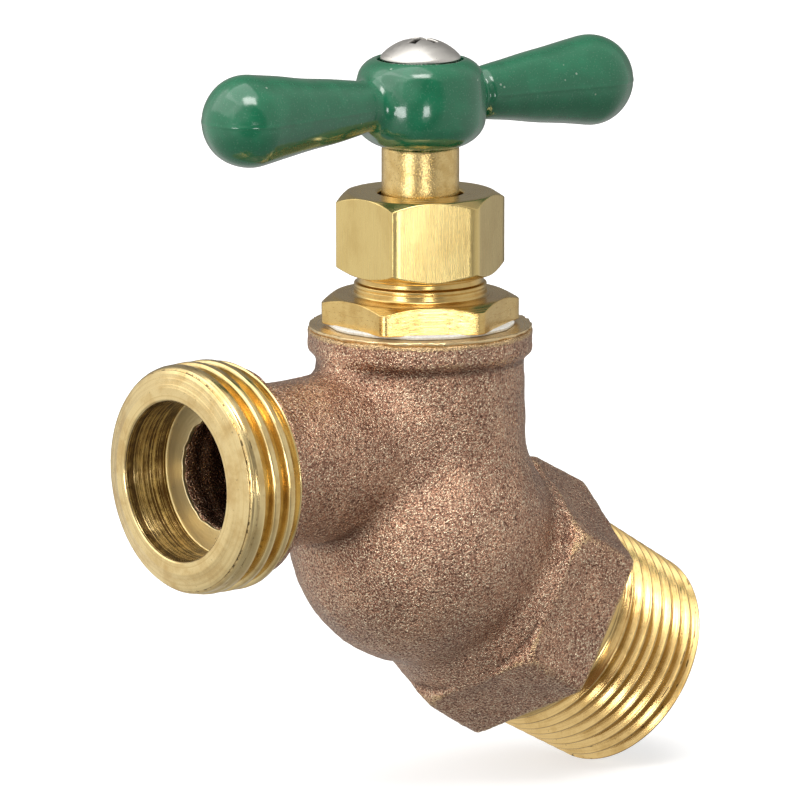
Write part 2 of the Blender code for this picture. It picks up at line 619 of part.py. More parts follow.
def make_seat_disc(lift_axis, brass):
    """The washer holder: a cup below for the rubber, a staked socket above for the stem's button."""
    socket = STEM_BUTTON_RADIUS + GAP
    lip = STEM_SWIVEL_RADIUS + GAP
    cup = SEAT_WASHER_RADIUS + GAP
    hole = SEAT_SCREW_RADIUS + GAP
    outline = [(hole, DISC_PLATE_BOTTOM), (cup, DISC_PLATE_BOTTOM), (cup, DISC_RIM_BOTTOM),
               (DISC_RADIUS - EASE, DISC_RIM_BOTTOM), (DISC_RADIUS, DISC_RIM_BOTTOM + EASE),
               (DISC_RADIUS, DISC_PLATE_TOP - EASE), (DISC_RADIUS - EASE, DISC_PLATE_TOP),
               (DISC_BOSS_RADIUS, DISC_PLATE_TOP), (DISC_BOSS_RADIUS, DISC_BOSS_TOP - EASE),
               (DISC_BOSS_RADIUS - EASE, DISC_BOSS_TOP), (lip, DISC_BOSS_TOP),
               (lip, STEM_BUTTON_TOP + GAP), (socket, STEM_BUTTON_TOP + GAP),
               (socket, DISC_PLATE_TOP), (hole, DISC_PLATE_TOP)]
    return turned("seat_disc", outline, 32, lift_axis, brass)


def make_seat_washer(lift_axis, rubber):
    """The rubber washer that closes on the seat."""
    outline = [(SEAT_WASHER_HOLE, SEAT_WASHER_BOTTOM), (SEAT_WASHER_RADIUS - EASE, SEAT_WASHER_BOTTOM),
               (SEAT_WASHER_RADIUS, SEAT_WASHER_BOTTOM + EASE), (SEAT_WASHER_RADIUS, SEAT_WASHER_TOP),
               (SEAT_WASHER_HOLE, SEAT_WASHER_TOP)]
    return turned("seat_washer", outline, 28, lift_axis, rubber)


def make_seat_screw(lift_axis, brass):
    """The slotted screw that holds the rubber washer."""
    head_top = RETAINER_TOP - RETAINER_THICK - GAP
    head_bottom = head_top - SEAT_SCREW_HEAD_DEPTH
    tip = DISC_PLATE_TOP - BURIED
    outline = [(0.0, head_bottom), (0.55 * SEAT_SCREW_HEAD, head_bottom),
               (0.9 * SEAT_SCREW_HEAD, head_bottom + EASE), (SEAT_SCREW_HEAD, head_top),
               (SEAT_SCREW_RADIUS, head_top), (SEAT_SCREW_RADIUS, tip - EASE),
               (SEAT_SCREW_RADIUS - EASE, tip), (0.0, tip)]
    screw = turned("seat_screw", outline, 28, lift_axis, brass)
    slot = (3.0 * SEAT_SCREW_HEAD, 0.9 * MM, 1.5 * MM)
    cut(screw, bar("seat_screw_slot", slot, (0.0, 0.0, head_bottom), lift_axis), "MANIFOLD")
    return screw


# ---------------------------------------------------------------- assembly

def main():
    clear_scene()
    bronze = material("cast_bronze", (0.38, 0.22, 0.16), 0.5, 0.7)
    brass = material("machined_brass", (0.80, 0.60, 0.24), 0.25, 1.0)
    enamel = material("green_enamel", (0.005, 0.20, 0.09), 0.12, 0.0)
    nickel = material("nickel_plate", (0.80, 0.79, 0.76), 0.2, 1.0)
    rubber = material("black_rubber", (0.02, 0.02, 0.02), 0.7, 0.0)
    packing = material("graphite_packing", (0.06, 0.06, 0.06), 0.8, 0.0)
    fibre = material("white_gasket", (0.85, 0.85, 0.86), 0.6, 0.0)

    # The crossing of the stem's and the outlet's axes, seen from the centre of the inlet's end.
    stem_x = -INLET_LENGTH * math.cos(INLET_SLOPE)
    outlet_z = INLET_LENGTH * math.sin(INLET_SLOPE) - INLET_CROSSING
    valve = empty("valve_frame", (stem_x, 0.0, outlet_z))
    outlet_axis = empty("outlet_axis", (0.0, 0.0, 0.0), (0.0, -math.pi / 2.0, 0.0), valve)
    inlet_axis = empty("inlet_axis", (0.0, 0.0, INLET_CROSSING),
                       (0.0, math.pi / 2.0 + INLET_SLOPE, 0.0), valve)
    lift_axis = empty("lift_axis", (0.0, 0.0, 0.0), parent=valve)
    stem_axis = empty("stem_axis", (0.0, 0.0, 0.0), parent=lift_axis)

    make_body(valve, outlet_axis, inlet_axis, bronze)
    make_bonnet(valve, brass)
    ring("bonnet_gasket", BONNET_BORE, GASKET_OUTER, GASKET_BOTTOM, GASKET_TOP, 40, valve, fibre)
    make_packing_nut(valve, brass)
    make_packing(valve, brass, packing)
    make_stem(stem_axis, brass)
    make_handle(stem_axis, enamel)
    make_handle_washer(stem_axis, nickel)
    make_handle_screw(stem_axis, nickel)
    make_seat_disc(lift_axis, brass)
    make_seat_washer(lift_axis, rubber)
    ring("seat_retainer", SEAT_WASHER_HOLE, RETAINER_RADIUS, RETAINER_TOP - RETAINER_THICK, RETAINER_TOP,
         24, lift_axis, brass)
    make_seat_screw(lift_axis, brass)


main()
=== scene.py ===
"""The looks of a 3/4 inch no-kink hose bib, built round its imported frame.

The casting and the handle are smooth implicit shapes turned into meshes, and the machined pieces are
turned outlines whose radius and height may change with the angle, which gives threads, hexagons and
ragged machined edges. Lengths inside a piece are millimetres in that piece's own frame, whose Z is
the axis it was turned on. Places come from the frame's mounts, joints and boxes.
"""

import json
import math

import bmesh
import bpy
import numpy as np
from mathutils import Matrix, Vector

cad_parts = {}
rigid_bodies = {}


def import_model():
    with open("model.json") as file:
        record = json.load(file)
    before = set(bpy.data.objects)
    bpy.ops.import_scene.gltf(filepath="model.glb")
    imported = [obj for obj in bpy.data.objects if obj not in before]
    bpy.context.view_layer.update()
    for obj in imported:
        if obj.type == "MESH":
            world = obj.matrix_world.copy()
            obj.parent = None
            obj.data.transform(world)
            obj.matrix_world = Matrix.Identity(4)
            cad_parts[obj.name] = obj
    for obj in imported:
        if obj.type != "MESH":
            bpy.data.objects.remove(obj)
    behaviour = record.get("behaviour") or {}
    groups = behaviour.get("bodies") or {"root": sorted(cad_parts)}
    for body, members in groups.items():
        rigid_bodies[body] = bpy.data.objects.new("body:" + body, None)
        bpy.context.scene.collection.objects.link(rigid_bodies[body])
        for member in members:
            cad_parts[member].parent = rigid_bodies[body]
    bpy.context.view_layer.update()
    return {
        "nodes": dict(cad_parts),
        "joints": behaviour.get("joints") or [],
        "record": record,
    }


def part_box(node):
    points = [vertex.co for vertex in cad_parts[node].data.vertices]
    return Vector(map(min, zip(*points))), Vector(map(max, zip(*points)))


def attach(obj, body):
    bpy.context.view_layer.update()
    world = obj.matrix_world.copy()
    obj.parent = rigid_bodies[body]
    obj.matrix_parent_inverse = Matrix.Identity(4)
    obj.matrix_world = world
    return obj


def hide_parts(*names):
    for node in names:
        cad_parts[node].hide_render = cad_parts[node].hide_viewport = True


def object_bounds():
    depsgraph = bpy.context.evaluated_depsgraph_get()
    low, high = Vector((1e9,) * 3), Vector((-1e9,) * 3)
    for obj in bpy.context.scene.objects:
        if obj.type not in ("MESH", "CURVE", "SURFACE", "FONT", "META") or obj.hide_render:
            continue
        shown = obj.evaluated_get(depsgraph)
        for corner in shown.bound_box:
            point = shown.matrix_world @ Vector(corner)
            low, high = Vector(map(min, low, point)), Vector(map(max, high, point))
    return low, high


for thing in list(bpy.data.objects):
    bpy.data.objects.remove(thing, do_unlink=True)

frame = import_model()

MM = 0.001
TURN = 2.0 * math.pi
RING_SIDES = 96

mounts = {mount["name"]: mount for mount in frame["record"]["mounts"]}
joints = {joint["name"]: joint for joint in frame["joints"]}


# ---- places, from the frame

def axis_frame(origin, along, side):
    """A frame at origin whose Z runs along `along` and whose X is on the side of `side`."""
    z = Vector(along).normalized()
    x = Vector(side) - z * z.dot(Vector(side))
    x.normalize()
    return Matrix.Translation(origin) @ Matrix((x, z.cross(x), z)).transposed().to_4x4()


def mount_place(name):
    return Vector(mounts[name]["pos_m"])


stem_x = joints["handle_turn"]["pos_m"][0]
outlet_z = mount_place("outlet_face").z
inlet_way = Vector(mounts["inlet_pipe_thread"]["axis"])
inlet_length = (mount_place("inlet_pipe_thread").x - stem_x) / inlet_way.x
inlet_crossing = mount_place("inlet_pipe_thread") - inlet_way * inlet_length

VALVE = Matrix.Translation((stem_x, 0.0, outlet_z))
OUTLET = axis_frame((stem_x, 0.0, outlet_z), mounts["outlet_face"]["axis"], (0.0, 0.0, 1.0))
INLET = axis_frame(inlet_crossing, inlet_way, (0.0, 0.0, -1.0))

# Distances along the axes, in millimetres, from the frames above.
OUTLET_END = (VALVE.inverted() @ mount_place("outlet_face")).x / -MM
INLET_END = inlet_length / MM
CROSSING = (inlet_crossing.z - outlet_z) / MM


def levels(node):
    """The heights of a node's lowest and highest points above the outlet's axis, in millimetres."""
    return [(corner.z - outlet_z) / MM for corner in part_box(node)]


def half_width(node):
    """Half a node's width across Y, in millimetres."""
    low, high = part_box(node)
    return (high.y - low.y) / 2.0 / MM


# ---- mesh tools

def waves(points, wavelength, seed):
    """A smooth random field, mostly within -1 and 1: a sum of plane waves."""
    count = 20
    draw = np.random.default_rng(seed)
    ways = draw.normal(size=(count, 3))
    ways /= np.linalg.norm(ways, axis=1)[:, None]
    ways *= (TURN / (wavelength * draw.uniform(0.7, 1.4, count)))[:, None]
    phases = draw.uniform(0.0, TURN, count)
    return np.sin(points @ ways.T + phases).sum(1) * math.sqrt(2.0 / count) / 1.6


def edge_noise(angles, radius, wavelength, seed):
    """The same field along a circle, for ragged edges."""
    circle = np.stack([radius * np.cos(angles), radius * np.sin(angles), np.zeros(len(angles))], 1)
    return waves(circle, wavelength, seed)


def finished(name, mesh, place, finish, node, body="valve"):
    """Put a mesh in millimetres into the scene as a piece that rides on a body, for a CAD node."""
    mesh.transform(Matrix.Scale(MM, 4))
    mesh.shade_smooth()
    mesh.materials.append(finish)
    piece = bpy.data.objects.new(name, mesh)
    bpy.context.scene.collection.objects.link(piece)
    piece.matrix_world = place
    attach(piece, body)
    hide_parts(node)


def rounded(outline, radius, steps=3):
    """Round the corners of a closed outline, with a narrow flat kept on both sides of each."""
    points = [np.array(p, float) for p in outline]
    made = []
    for before, corner, after in zip(points[-1:] + points[:-1], points, points[1:] + points[:1]):
        if corner[0] < 1e-6:
            made.append(corner)
            continue
        back, on = before - corner, after - corner
        back_length, on_length = np.linalg.norm(back), np.linalg.norm(on)
        reach = min(radius, 0.4 * back_length, 0.4 * on_length)
        hold = 1.25 * reach
        back, on = back / back_length, on / on_length
        made.append(corner + back * hold)
        for step in range(steps + 1):
            t = step / steps
            made.append(corner + back * reach * (1.0 - t) ** 2 + on * reach * t ** 2)
        made.append(corner + on * hold)
    return np.array(made)


def eased(outline, radius, steps=2):
    """Round the inner corners of an open outline, keeping its two ends."""
    points = [np.array(p, float) for p in outline]
    closed = rounded(points, radius, steps)
    each = steps + 3
    return np.concatenate([[points[0]], closed[each:-each], [points[-1]]])


def revolved(name, angles, outlines, thread_rows=0, thread_step=0):
    """Join closed (radius, height) outlines, one for each angle, into a closed mesh.

    The first thread_rows points of each outline may climb a helix: after a full turn, point k is
    where point k + thread_step was.
    """
    columns, rows = len(angles), len(outlines[0])
    table = np.array(outlines)
    x = table[:, :, 0] * np.cos(angles)[:, None]
    y = table[:, :, 0] * np.sin(angles)[:, None]
    points = np.stack([x, y, table[:, :, 1]], 2).reshape(-1, 3)
    here = np.arange(rows)
    climbed = np.minimum(here + thread_step, max(thread_rows - 1, 0))
    climbed = np.where(here < thread_rows, climbed, here)
    faces = []
    for column in range(columns):
        following = (column + 1) % columns
        match = climbed if following == 0 and thread_rows else here
        first, second = column * rows, following * rows
        for row in range(rows):
            other = (row + 1) % rows
            faces.append((first + row, second + match[row], second + match[other], first + other))
    mesh = bpy.data.meshes.new(name)
    mesh.from_pydata(points.tolist(), [], faces)
    bm = bmesh.new()
    bm.from_mesh(mesh)
    bmesh.ops.remove_doubles(bm, verts=bm.verts, dist=1e-4)
    bmesh.ops.recalc_face_normals(bm, faces=bm.faces)
    bm.to_mesh(mesh)
    bm.free()
    return mesh


def around(sides):
    """Evenly spaced column angles."""
    return np.arange(sides) * TURN / sides


def turned(name, outline, rounding):
    """A plain turned mesh."""
    return revolved(name, around(RING_SIDES), [rounded(outline, rounding)] * RING_SIDES)


def helix_rows(angle, start, end, first, pitch, shape, crest_at, depth_at):
    """The part of an outline that crosses a right-handed thread, at one angle.

    shape lists (place in the pitch, height as a share of the depth) for one ridge.
    """
    turns = np.arange(math.floor((start - first) / pitch) - 2, math.ceil((end - first) / pitch) + 3)
    places = (first + pitch * (turns[:, None] + angle / TURN + shape[:, 0][None, :])).ravel()
    heights = np.tile(shape[:, 1], len(turns))
    radii = crest_at(places) - depth_at(places) * (1.0 - heights)
    low, high = np.interp([start, end], places, radii)
    radii = np.where(places < start, low, np.where(places > end, high, radii))
    return np.stack([radii, np.clip(places, start, end)], 1)


def ridge_shape(pitch, crest, root, ease, hold=0.0):
    """One ridge, from crest middle to crest middle: flat crest, sloping flanks, flat root.

    A hold keeps the flanks straight right up to their rounded edges.
    """
    half_crest, half_root = crest / 2.0 / pitch, root / 2.0 / pitch
    soft = ease / pitch
    top, foot = (half_crest + soft, 0.86), (0.5 - half_root - soft, 0.12)
    left = [(0.0, 1.0), (half_crest, 1.0), top]
    if hold:
        step = hold / pitch
        fall = step / (foot[0] - top[0]) * (top[1] - foot[1])
        left.insert(2, (half_crest + 0.4 * soft, 0.965))
        left += [(top[0] + step, top[1] - fall), (foot[0] - step, foot[1] + fall)]
    left += [foot, (0.5 - half_root, 0.02), (0.5, 0.0)]
    right = [(1.0 - place, height) for place, height in left[1:-1]]
    return np.array(left + right[::-1])


def smooth_step(value, low, high):
    t = np.clip((value - low) / (high - low), 0.0, 1.0)
    return t * t * (3.0 - 2.0 * t)


def smooth_min(a, b, k):
    h = np.maximum(k - np.abs(a - b), 0.0) / k
    return np.minimum(a, b) - h * h * k / 4.0


def smooth_max(a, b, k):
    return -smooth_min(-a, -b, k)


def gradient(field, points, reach=0.05):
    """The field's slope at many points."""
    slopes = []
    for axis in range(3):
        step = np.zeros(3)
        step[axis] = reach
        slopes.append((field(points + step) - field(points - step)) / (2.0 * reach))
    return np.stack(slopes, 1)


def surface_of(field, low, high, cell):
    """Mesh the surface field = 0 in a box: one point in each cell that it crosses (surface nets).

    Returns the points, drawn on to the surface, and the quads.
    """
    low = np.array(low, float)
    counts = np.ceil((np.array(high) - low) / cell).astype(int) + 1
    lines = [low[axis] + cell * np.arange(counts[axis]) for axis in range(3)]
    values = np.empty(counts)
    for layer, x in enumerate(lines[0]):
        y, z = np.meshgrid(lines[1], lines[2], indexing="ij")
        points = np.stack([np.full(y.size, x), y.ravel(), z.ravel()], 1)
        values[layer] = field(points).reshape(y.shape)
    strides = np.array([counts[1] * counts[2], counts[2], 1])
    crossings = []
    totals = np.zeros((counts.prod(), 3))
    hits = np.zeros(counts.prod())
    for axis in range(3):
        near = np.take(values, range(counts[axis] - 1), axis)
        far = np.take(values, range(1, counts[axis]), axis)
        found = np.argwhere((near < 0.0) != (far < 0.0))
        a, b = near[tuple(found.T)], far[tuple(found.T)]
        middle = found.astype(float)
        middle[:, axis] += a / (a - b)
        u, v = (axis + 1) % 3, (axis + 2) % 3
        corners = []
        for du, dv in ((0, 0), (-1, 0), (-1, -1), (0, -1)):
            cell_at = found.copy()
            cell_at[:, u] += du
            cell_at[:, v] += dv
            index = cell_at @ strides
            corners.append(index)
            for part in range(3):
                totals[:, part] += np.bincount(index, middle[:, part], len(hits))
            hits += np.bincount(index, minlength=len(hits))
        corners = np.stack(corners, 1)
        corners[a > 0.0] = corners[a > 0.0][:, ::-1]
        crossings.append(corners)
    used = np.nonzero(hits)[0]
    points = low + cell * totals[used] / hits[used][:, None]
    order = np.zeros(len(hits), int)
    order[used] = np.arange(len(used))
    for _ in range(3):
        slope = gradient(field, points)
        step = field(points) / np.maximum((slope ** 2).sum(1), 0.05)
        points -= slope * np.clip(step, -0.5 * cell, 0.5 * cell)[:, None]
    return points, order[np.concatenate(crossings)]


def skin(name, points, quads, normals, attributes=()):
    """A mesh from points and quads, with exact normals and named point values."""
    mesh = bpy.data.meshes.new(name)
    mesh.from_pydata(points.tolist(), [], quads.tolist())
    mesh.shade_smooth()
    mesh.normals_split_custom_set_from_vertices(normals.tolist())
    for label, values in attributes:
        layer = mesh.attributes.new(label, "FLOAT", "POINT")
        layer.data.foreach_set("value", values.astype(np.float32))
    return mesh


def unit(vectors):
    return vectors / np.maximum(np.linalg.norm(vectors, axis=1), 1e-9)[:, None]


def tilted(normals, uneven, points):
    """The normals of a surface that is lifted by uneven(points)."""
    rise = gradient(uneven, points)
    return unit(normals - (rise - normals * (rise * normals).sum(1)[:, None]))


# ---- materials

BORE_STEP = OUTLET_END - 6.2
NOSE_LINES = ((36.22, 0.12), (35.42, 0.07), (33.9, 0.05))  # places along the outlet, widths
# Painted shade down the outlet's bore.
BORE_SHADE = (0.085, 0.045, 0.014)
# Painted light on the ledge at the bottom of the bore.
LEDGE_LIGHT = (1.0, 0.86, 0.50)
# The dark of the broken lines round the nose.
NOSE_LINE_DARK = (0.10, 0.06, 0.025)


class Nodes:
    """A node tree whose nodes are made by short calls."""

    def __init__(self, tree):
        self.tree = tree

    def node(self, kind, inputs=(), **settings):
        made = self.tree.nodes.new(kind)
        for key, value in settings.items():
            setattr(made, key, value)
        for key, value in dict(inputs).items():
            self.feed(made.inputs[key], value)
        return made

    def feed(self, socket, value):
        if isinstance(value, bpy.types.NodeSocket):
            self.tree.links.new(value, socket)
        else:
            socket.default_value = value

    def maths(self, operation, a, b=0.0):
        return self.node("ShaderNodeMath", {0: a, 1: b}, operation=operation).outputs[0]

    def plus(self, a, b):
        return self.maths("ADD", a, b)

    def minus(self, a, b):
        return self.maths("SUBTRACT", a, b)

    def times(self, a, b):
        return self.maths("MULTIPLY", a, b)

    def range(self, value, low, high, to_low=0.0, to_high=1.0):
        """A smooth change from to_low to to_high while the value goes from low to high."""
        inputs = {0: value, 1: low, 2: high, 3: to_low, 4: to_high}
        return self.node("ShaderNodeMapRange", inputs, interpolation_type="SMOOTHSTEP").outputs[0]


class Finish(Nodes):
    """A material on its Principled shader."""

    def __init__(self, name):
        self.material = bpy.data.materials.new(name)
        self.material.use_nodes = True
        super().__init__(self.material.node_tree)
        self.shader = self.tree.nodes["Principled BSDF"]
        self.place = self.node("ShaderNodeTexCoord").outputs["Object"]

    def noise(self, size_mm, detail=3.0, rough=0.55, where=None, stretch=(1.0, 1.0, 1.0)):
        """Noise whose blobs are about size_mm across, 0 to 1."""
        scale = tuple(1.0 / MM / size_mm / part for part in stretch)
        where = self.node("ShaderNodeMapping", {0: where or self.place, 3: scale}).outputs[0]
        return self.node("ShaderNodeTexNoise", {"Vector": where, "Scale": 1.0, "Detail": detail,
                                                "Roughness": rough}).outputs["Fac"]

    def cells(self, size_mm):
        """The distance to the nearest of many scattered points, as a share of size_mm."""
        return self.node("ShaderNodeTexVoronoi", {"Vector": self.place, "Scale": 1.0 / MM / size_mm},
                         feature="F1").outputs["Distance"]

    def mix(self, amount, a, b, share=1.0):
        """Colour a where the amount is 0, and that share of colour b where it is 1."""
        amount = self.times(amount, share) if share < 1.0 else amount
        a, b = ((*colour, 1.0) if isinstance(colour, tuple) else colour for colour in (a, b))
        return self.node("ShaderNodeMix", {0: amount, 6: a, 7: b}, data_type="RGBA").outputs[2]

    def bump(self, height, depth_mm, strength=1.0, below=None):
        inputs = {"Height": height, "Distance": depth_mm * MM, "Strength": strength}
        if below is not None:
            inputs["Normal"] = below
        return self.node("ShaderNodeBump", inputs).outputs["Normal"]

    def radial(self):
        """The distance from the piece's own Z axis and the height along it, both in metres."""
        x, y, z = self.node("ShaderNodeSeparateXYZ", {0: self.place}).outputs
        return self.maths("SQRT", self.plus(self.times(x, x), self.times(y, y))), z

    def tool_marks(self, size_mm, detail=4.0):
        """Fine turned rings: noise that changes only with the radius and the height."""
        radius, height = self.radial()
        rings = self.node("ShaderNodeCombineXYZ", {0: radius, 1: height, 2: 0.0}).outputs[0]
        return self.noise(size_mm, detail, 0.6, where=rings)

    def attribute(self, name):
        return self.node("ShaderNodeAttribute", attribute_name=name).outputs["Fac"]

    def give(self, **values):
        for key, value in values.items():
            value = (*value, 1.0) if isinstance(value, tuple) else value
            self.feed(self.shader.inputs[key.replace("_", " ")], value)
        return self.material


def cast_bronze():
    """Sand-cast bronze: a brown skin with sparkling grain, worn golden on its edges."""
    finish = Finish("cast_bronze")
    edge, inside = finish.attribute("edge"), finish.attribute("inside")
    grain = finish.noise(0.27, 2.0, 0.65)
    fine = finish.noise(0.15, 1.0, 0.5)
    patches = finish.noise(4.5, 4.0, 0.6)
    tint = finish.noise(1.3, 3.0, 0.6)
    colour = finish.mix(finish.range(patches, 0.32, 0.68), (0.42, 0.220, 0.146), (0.60, 0.333, 0.216))
    colour = finish.mix(finish.range(tint, 0.45, 0.75, 0.0, 0.5), colour, (0.60, 0.40, 0.28))
    dark_grain = finish.range(grain, 0.50, 0.34)
    colour = finish.mix(dark_grain, colour, (0.105, 0.050, 0.035), 0.85)
    bright = finish.range(finish.plus(finish.times(grain, 0.5), finish.times(fine, 0.5)), 0.53, 0.60)
    colour = finish.mix(bright, colour, (1.0, 0.84, 0.60), 0.90)
    worn = finish.plus(edge, finish.times(finish.minus(grain, 0.5), 2.2))
    worn = finish.plus(worn, finish.times(finish.minus(patches, 0.5), 1.6))
    worn = finish.range(worn, 0.55, 1.35, 0.0, 0.70)
    colour = finish.mix(worn, colour, (0.74, 0.53, 0.27))
    # Painted shade: the hollow creases of the casting are darkened.
    crease_shade = finish.range(edge, -0.10, -0.60, 0.0, 0.55)
    colour = finish.mix(crease_shade, colour, (0.100, 0.048, 0.034))
    # Painted shade: the bores and passages deep inside the casting are darkened.
    colour = finish.mix(inside, colour, (0.050, 0.018, 0.012), 0.80)
    rough = finish.range(grain, 0.3, 0.7, 0.34, 0.18)
    lumps = finish.bump(finish.noise(1.1, 2.0, 0.5), 0.12, 0.6)
    middle = finish.bump(grain, 0.27, 0.95, lumps)
    normal = finish.bump(fine, 0.08, 0.85, middle)
    return finish.give(Base_Color=colour, Metallic=0.92, Roughness=rough, Normal=normal)


def turned_brass(name, colour, dark, marks_mm, depth_mm, rough):
    """Machined brass with rings left by the tool and a faint stain.

    A piece as long as the hose end gets more: painted shade down its bore, broken by streaky tool
    marks, painted light on the ledge at its bottom and broken dark lines round the nose.
    """
    finish = Finish(name)
    marks = finish.tool_marks(marks_mm)
    wide = finish.tool_marks(marks_mm * 5.0, 2.0)
    stain = finish.noise(2.8, 4.0, 0.6)
    tone = finish.mix(finish.range(stain, 0.40, 0.72, 0.0, 0.65), colour, dark)
    tone = finish.mix(finish.range(marks, 0.52, 0.30, 0.0, 0.45), tone, dark)
    pits = finish.range(finish.noise(0.5, 3.0, 0.7), 0.66, 0.72)
    radius, height = finish.radial()
    step = BORE_STEP * MM
    # Painted shade down the bore, broken up by streaks of tool marks.
    bored = finish.times(finish.range(radius, 9.46 * MM, 9.40 * MM),
                         finish.range(height, step + 0.05 * MM, step + 0.25 * MM))
    streaks = finish.tool_marks(0.16, 3.0)
    scuff = finish.noise(1.3, 3.0, 0.6)
    worked = finish.plus(finish.times(streaks, 1.5), finish.times(scuff, 0.5))
    worked = finish.range(worked, 1.14, 0.90, 0.25, 1.0)
    tone = finish.mix(finish.times(bored, worked), tone, BORE_SHADE)
    # Painted light: the ledge at the bottom of the bore is made pale and bright, though it lies in the
    # bore's shade.
    ledge = finish.times(finish.range(radius, 9.50 * MM, 9.42 * MM),
                         finish.range(height, step + 0.20 * MM, step + 0.06 * MM))
    ledge = finish.times(ledge, finish.range(height, step - 0.8 * MM, step - 0.6 * MM))
    tone = finish.mix(ledge, tone, LEDGE_LIGHT, 0.85)
    # Broken dark lines painted round the nose.
    outer = finish.range(radius, 11.8 * MM, 12.2 * MM)
    for line, width in NOSE_LINES:
        from_line = finish.maths("ABSOLUTE", finish.minus(height, line * MM))
        near = finish.range(from_line, width * MM, 0.3 * width * MM)
        broken = finish.range(finish.noise(0.9, 3.0, 0.7), 0.50, 0.60)
        near = finish.times(finish.times(near, outer), broken)
        tone = finish.mix(near, tone, NOSE_LINE_DARK, 0.85)
    tone = finish.mix(pits, tone, tuple(0.35 * part for part in dark), 0.6)
    shine = finish.range(marks, 0.3, 0.7, rough[1], rough[0])
    shine = finish.plus(shine, finish.times(ledge, 0.25))
    lines = finish.bump(finish.times(streaks, bored), 0.12, 1.0)
    normal = finish.bump(marks, depth_mm, 0.8, finish.bump(wide, 2.0 * depth_mm, 0.6, lines))
    return finish.give(Base_Color=tone, Metallic=1.0, Roughness=shine, Normal=normal)


def satin_brass(name, colour, dark):
    """Bright drawn bar: a fine grain up its sides and turned rings on its ends."""
    finish = Finish(name)
    sides = finish.noise(0.16, 3.0, 0.6, stretch=(1.0, 1.0, 30.0))
    rings = finish.tool_marks(0.30)
    facing = finish.node("ShaderNodeTexCoord").outputs["Normal"]
    up = finish.node("ShaderNodeSeparateXYZ", {0: facing})
    level_face = finish.range(finish.maths("ABSOLUTE", up.outputs[2]), 0.6, 0.9)
    marks = finish.times(sides, finish.minus(1.0, level_face))
    marks = finish.plus(marks, finish.times(rings, level_face))
    stain = finish.noise(3.2, 4.0, 0.6, stretch=(1.0, 1.0, 2.0))
    tone = finish.mix(finish.range(stain, 0.42, 0.75, 0.0, 0.6), colour, dark)
    scratch = finish.range(finish.noise(0.30, 2.0, 0.5, stretch=(1.0, 1.0, 14.0)), 0.62, 0.70)
    tone = finish.mix(scratch, tone, dark, 0.22)
    shine = finish.range(marks, 0.3, 0.7, 0.30, 0.20)
    normal = finish.bump(marks, 0.005, 0.7, finish.bump(finish.noise(3.5, 2.0), 0.02, 0.4))
    return finish.give(Base_Color=tone, Metallic=1.0, Roughness=shine, Normal=normal)


def green_enamel():
    """Thick glossy enamel, with the flow of a dipped coat and a few pits and scratches."""
    finish = Finish("green_enamel")
    flow = finish.noise(2.6, 2.0, 0.5)
    fine = finish.noise(0.7, 2.0, 0.5)
    pits = finish.range(finish.cells(1.9), 0.10, 0.045)
    some = finish.range(finish.noise(3.0, 1.0), 0.55, 0.60)
    pits = finish.times(pits, some)
    colour = finish.mix(finish.range(flow, 0.35, 0.70), (0.002, 0.120, 0.052), (0.003, 0.146, 0.064))
    colour = finish.mix(pits, colour, (0.35, 0.45, 0.36), 0.7)
    speck = finish.range(finish.noise(0.22, 1.0), 0.60, 0.72)
    colour = finish.mix(speck, colour, (0.16, 0.34, 0.24), 0.16)
    height = finish.minus(fine, finish.times(pits, 2.0))
    normal = finish.bump(height, 0.012, 0.7, finish.bump(flow, 0.10, 0.7))
    shine = finish.range(fine, 0.3, 0.7, 0.14, 0.22)
    return finish.give(Base_Color=colour, Metallic=0.0, Roughness=shine, Normal=normal,
                       Coat_Weight=0.6, Coat_Roughness=0.05, Coat_IOR=1.5, Specular_IOR_Level=0.55)


def nickel_plate():
    """Polished nickel with fine wipe marks."""
    finish = Finish("nickel_plate")
    marks = finish.noise(0.5, 3.0, 0.6, stretch=(8.0, 1.0, 1.0))
    pits = finish.range(finish.noise(0.35, 2.0, 0.6), 0.68, 0.74)
    colour = finish.mix(finish.noise(2.0, 3.0), (0.63, 0.61, 0.575), (0.76, 0.735, 0.69))
    colour = finish.mix(pits, colour, (0.18, 0.15, 0.12), 0.5)
    # Painted shade in the screw's cross recess.
    colour = finish.mix(finish.attribute("inside"), colour, (0.03, 0.025, 0.02), 0.9)
    normal = finish.bump(finish.minus(marks, pits), 0.012, 0.6)
    shine = finish.range(marks, 0.3, 0.7, 0.34, 0.42)
    return finish.give(Base_Color=colour, Metallic=1.0, Roughness=shine, Normal=normal)


def dull(name, colour, dark, grain_mm, depth_mm, rough):
    """A soft, fibrous or rubbery matt surface."""
    finish = Finish(name)
    grain = finish.noise(grain_mm, 4.0, 0.65)
    tone = finish.mix(finish.range(grain, 0.35, 0.65), dark, colour)
    return finish.give(Base_Color=tone, Roughness=finish.range(grain, 0.3, 0.7, rough, rough - 0.15),
                       Normal=finish.bump(grain, depth_mm, 0.8))


def mottled_brass(name, colour, dark):
    """A drawn and tumbled bar, with a fine dimpled skin."""
    finish = Finish(name)
    dimples = finish.noise(0.24, 3.0, 0.7)
    cloud = finish.noise(1.4, 3.0, 0.6)
    tone = finish.mix(finish.range(cloud, 0.35, 0.70, 0.0, 0.7), colour, dark)
    tone = finish.mix(finish.range(dimples, 0.48, 0.34, 0.0, 0.5), tone, dark)
    normal = finish.bump(dimples, 0.045, 0.8, finish.bump(cloud, 0.05, 0.4))
    shine = finish.range(dimples, 0.3, 0.7, 0.30, 0.18)
    return finish.give(Base_Color=tone, Metallic=1.0, Roughness=shine, Normal=normal)


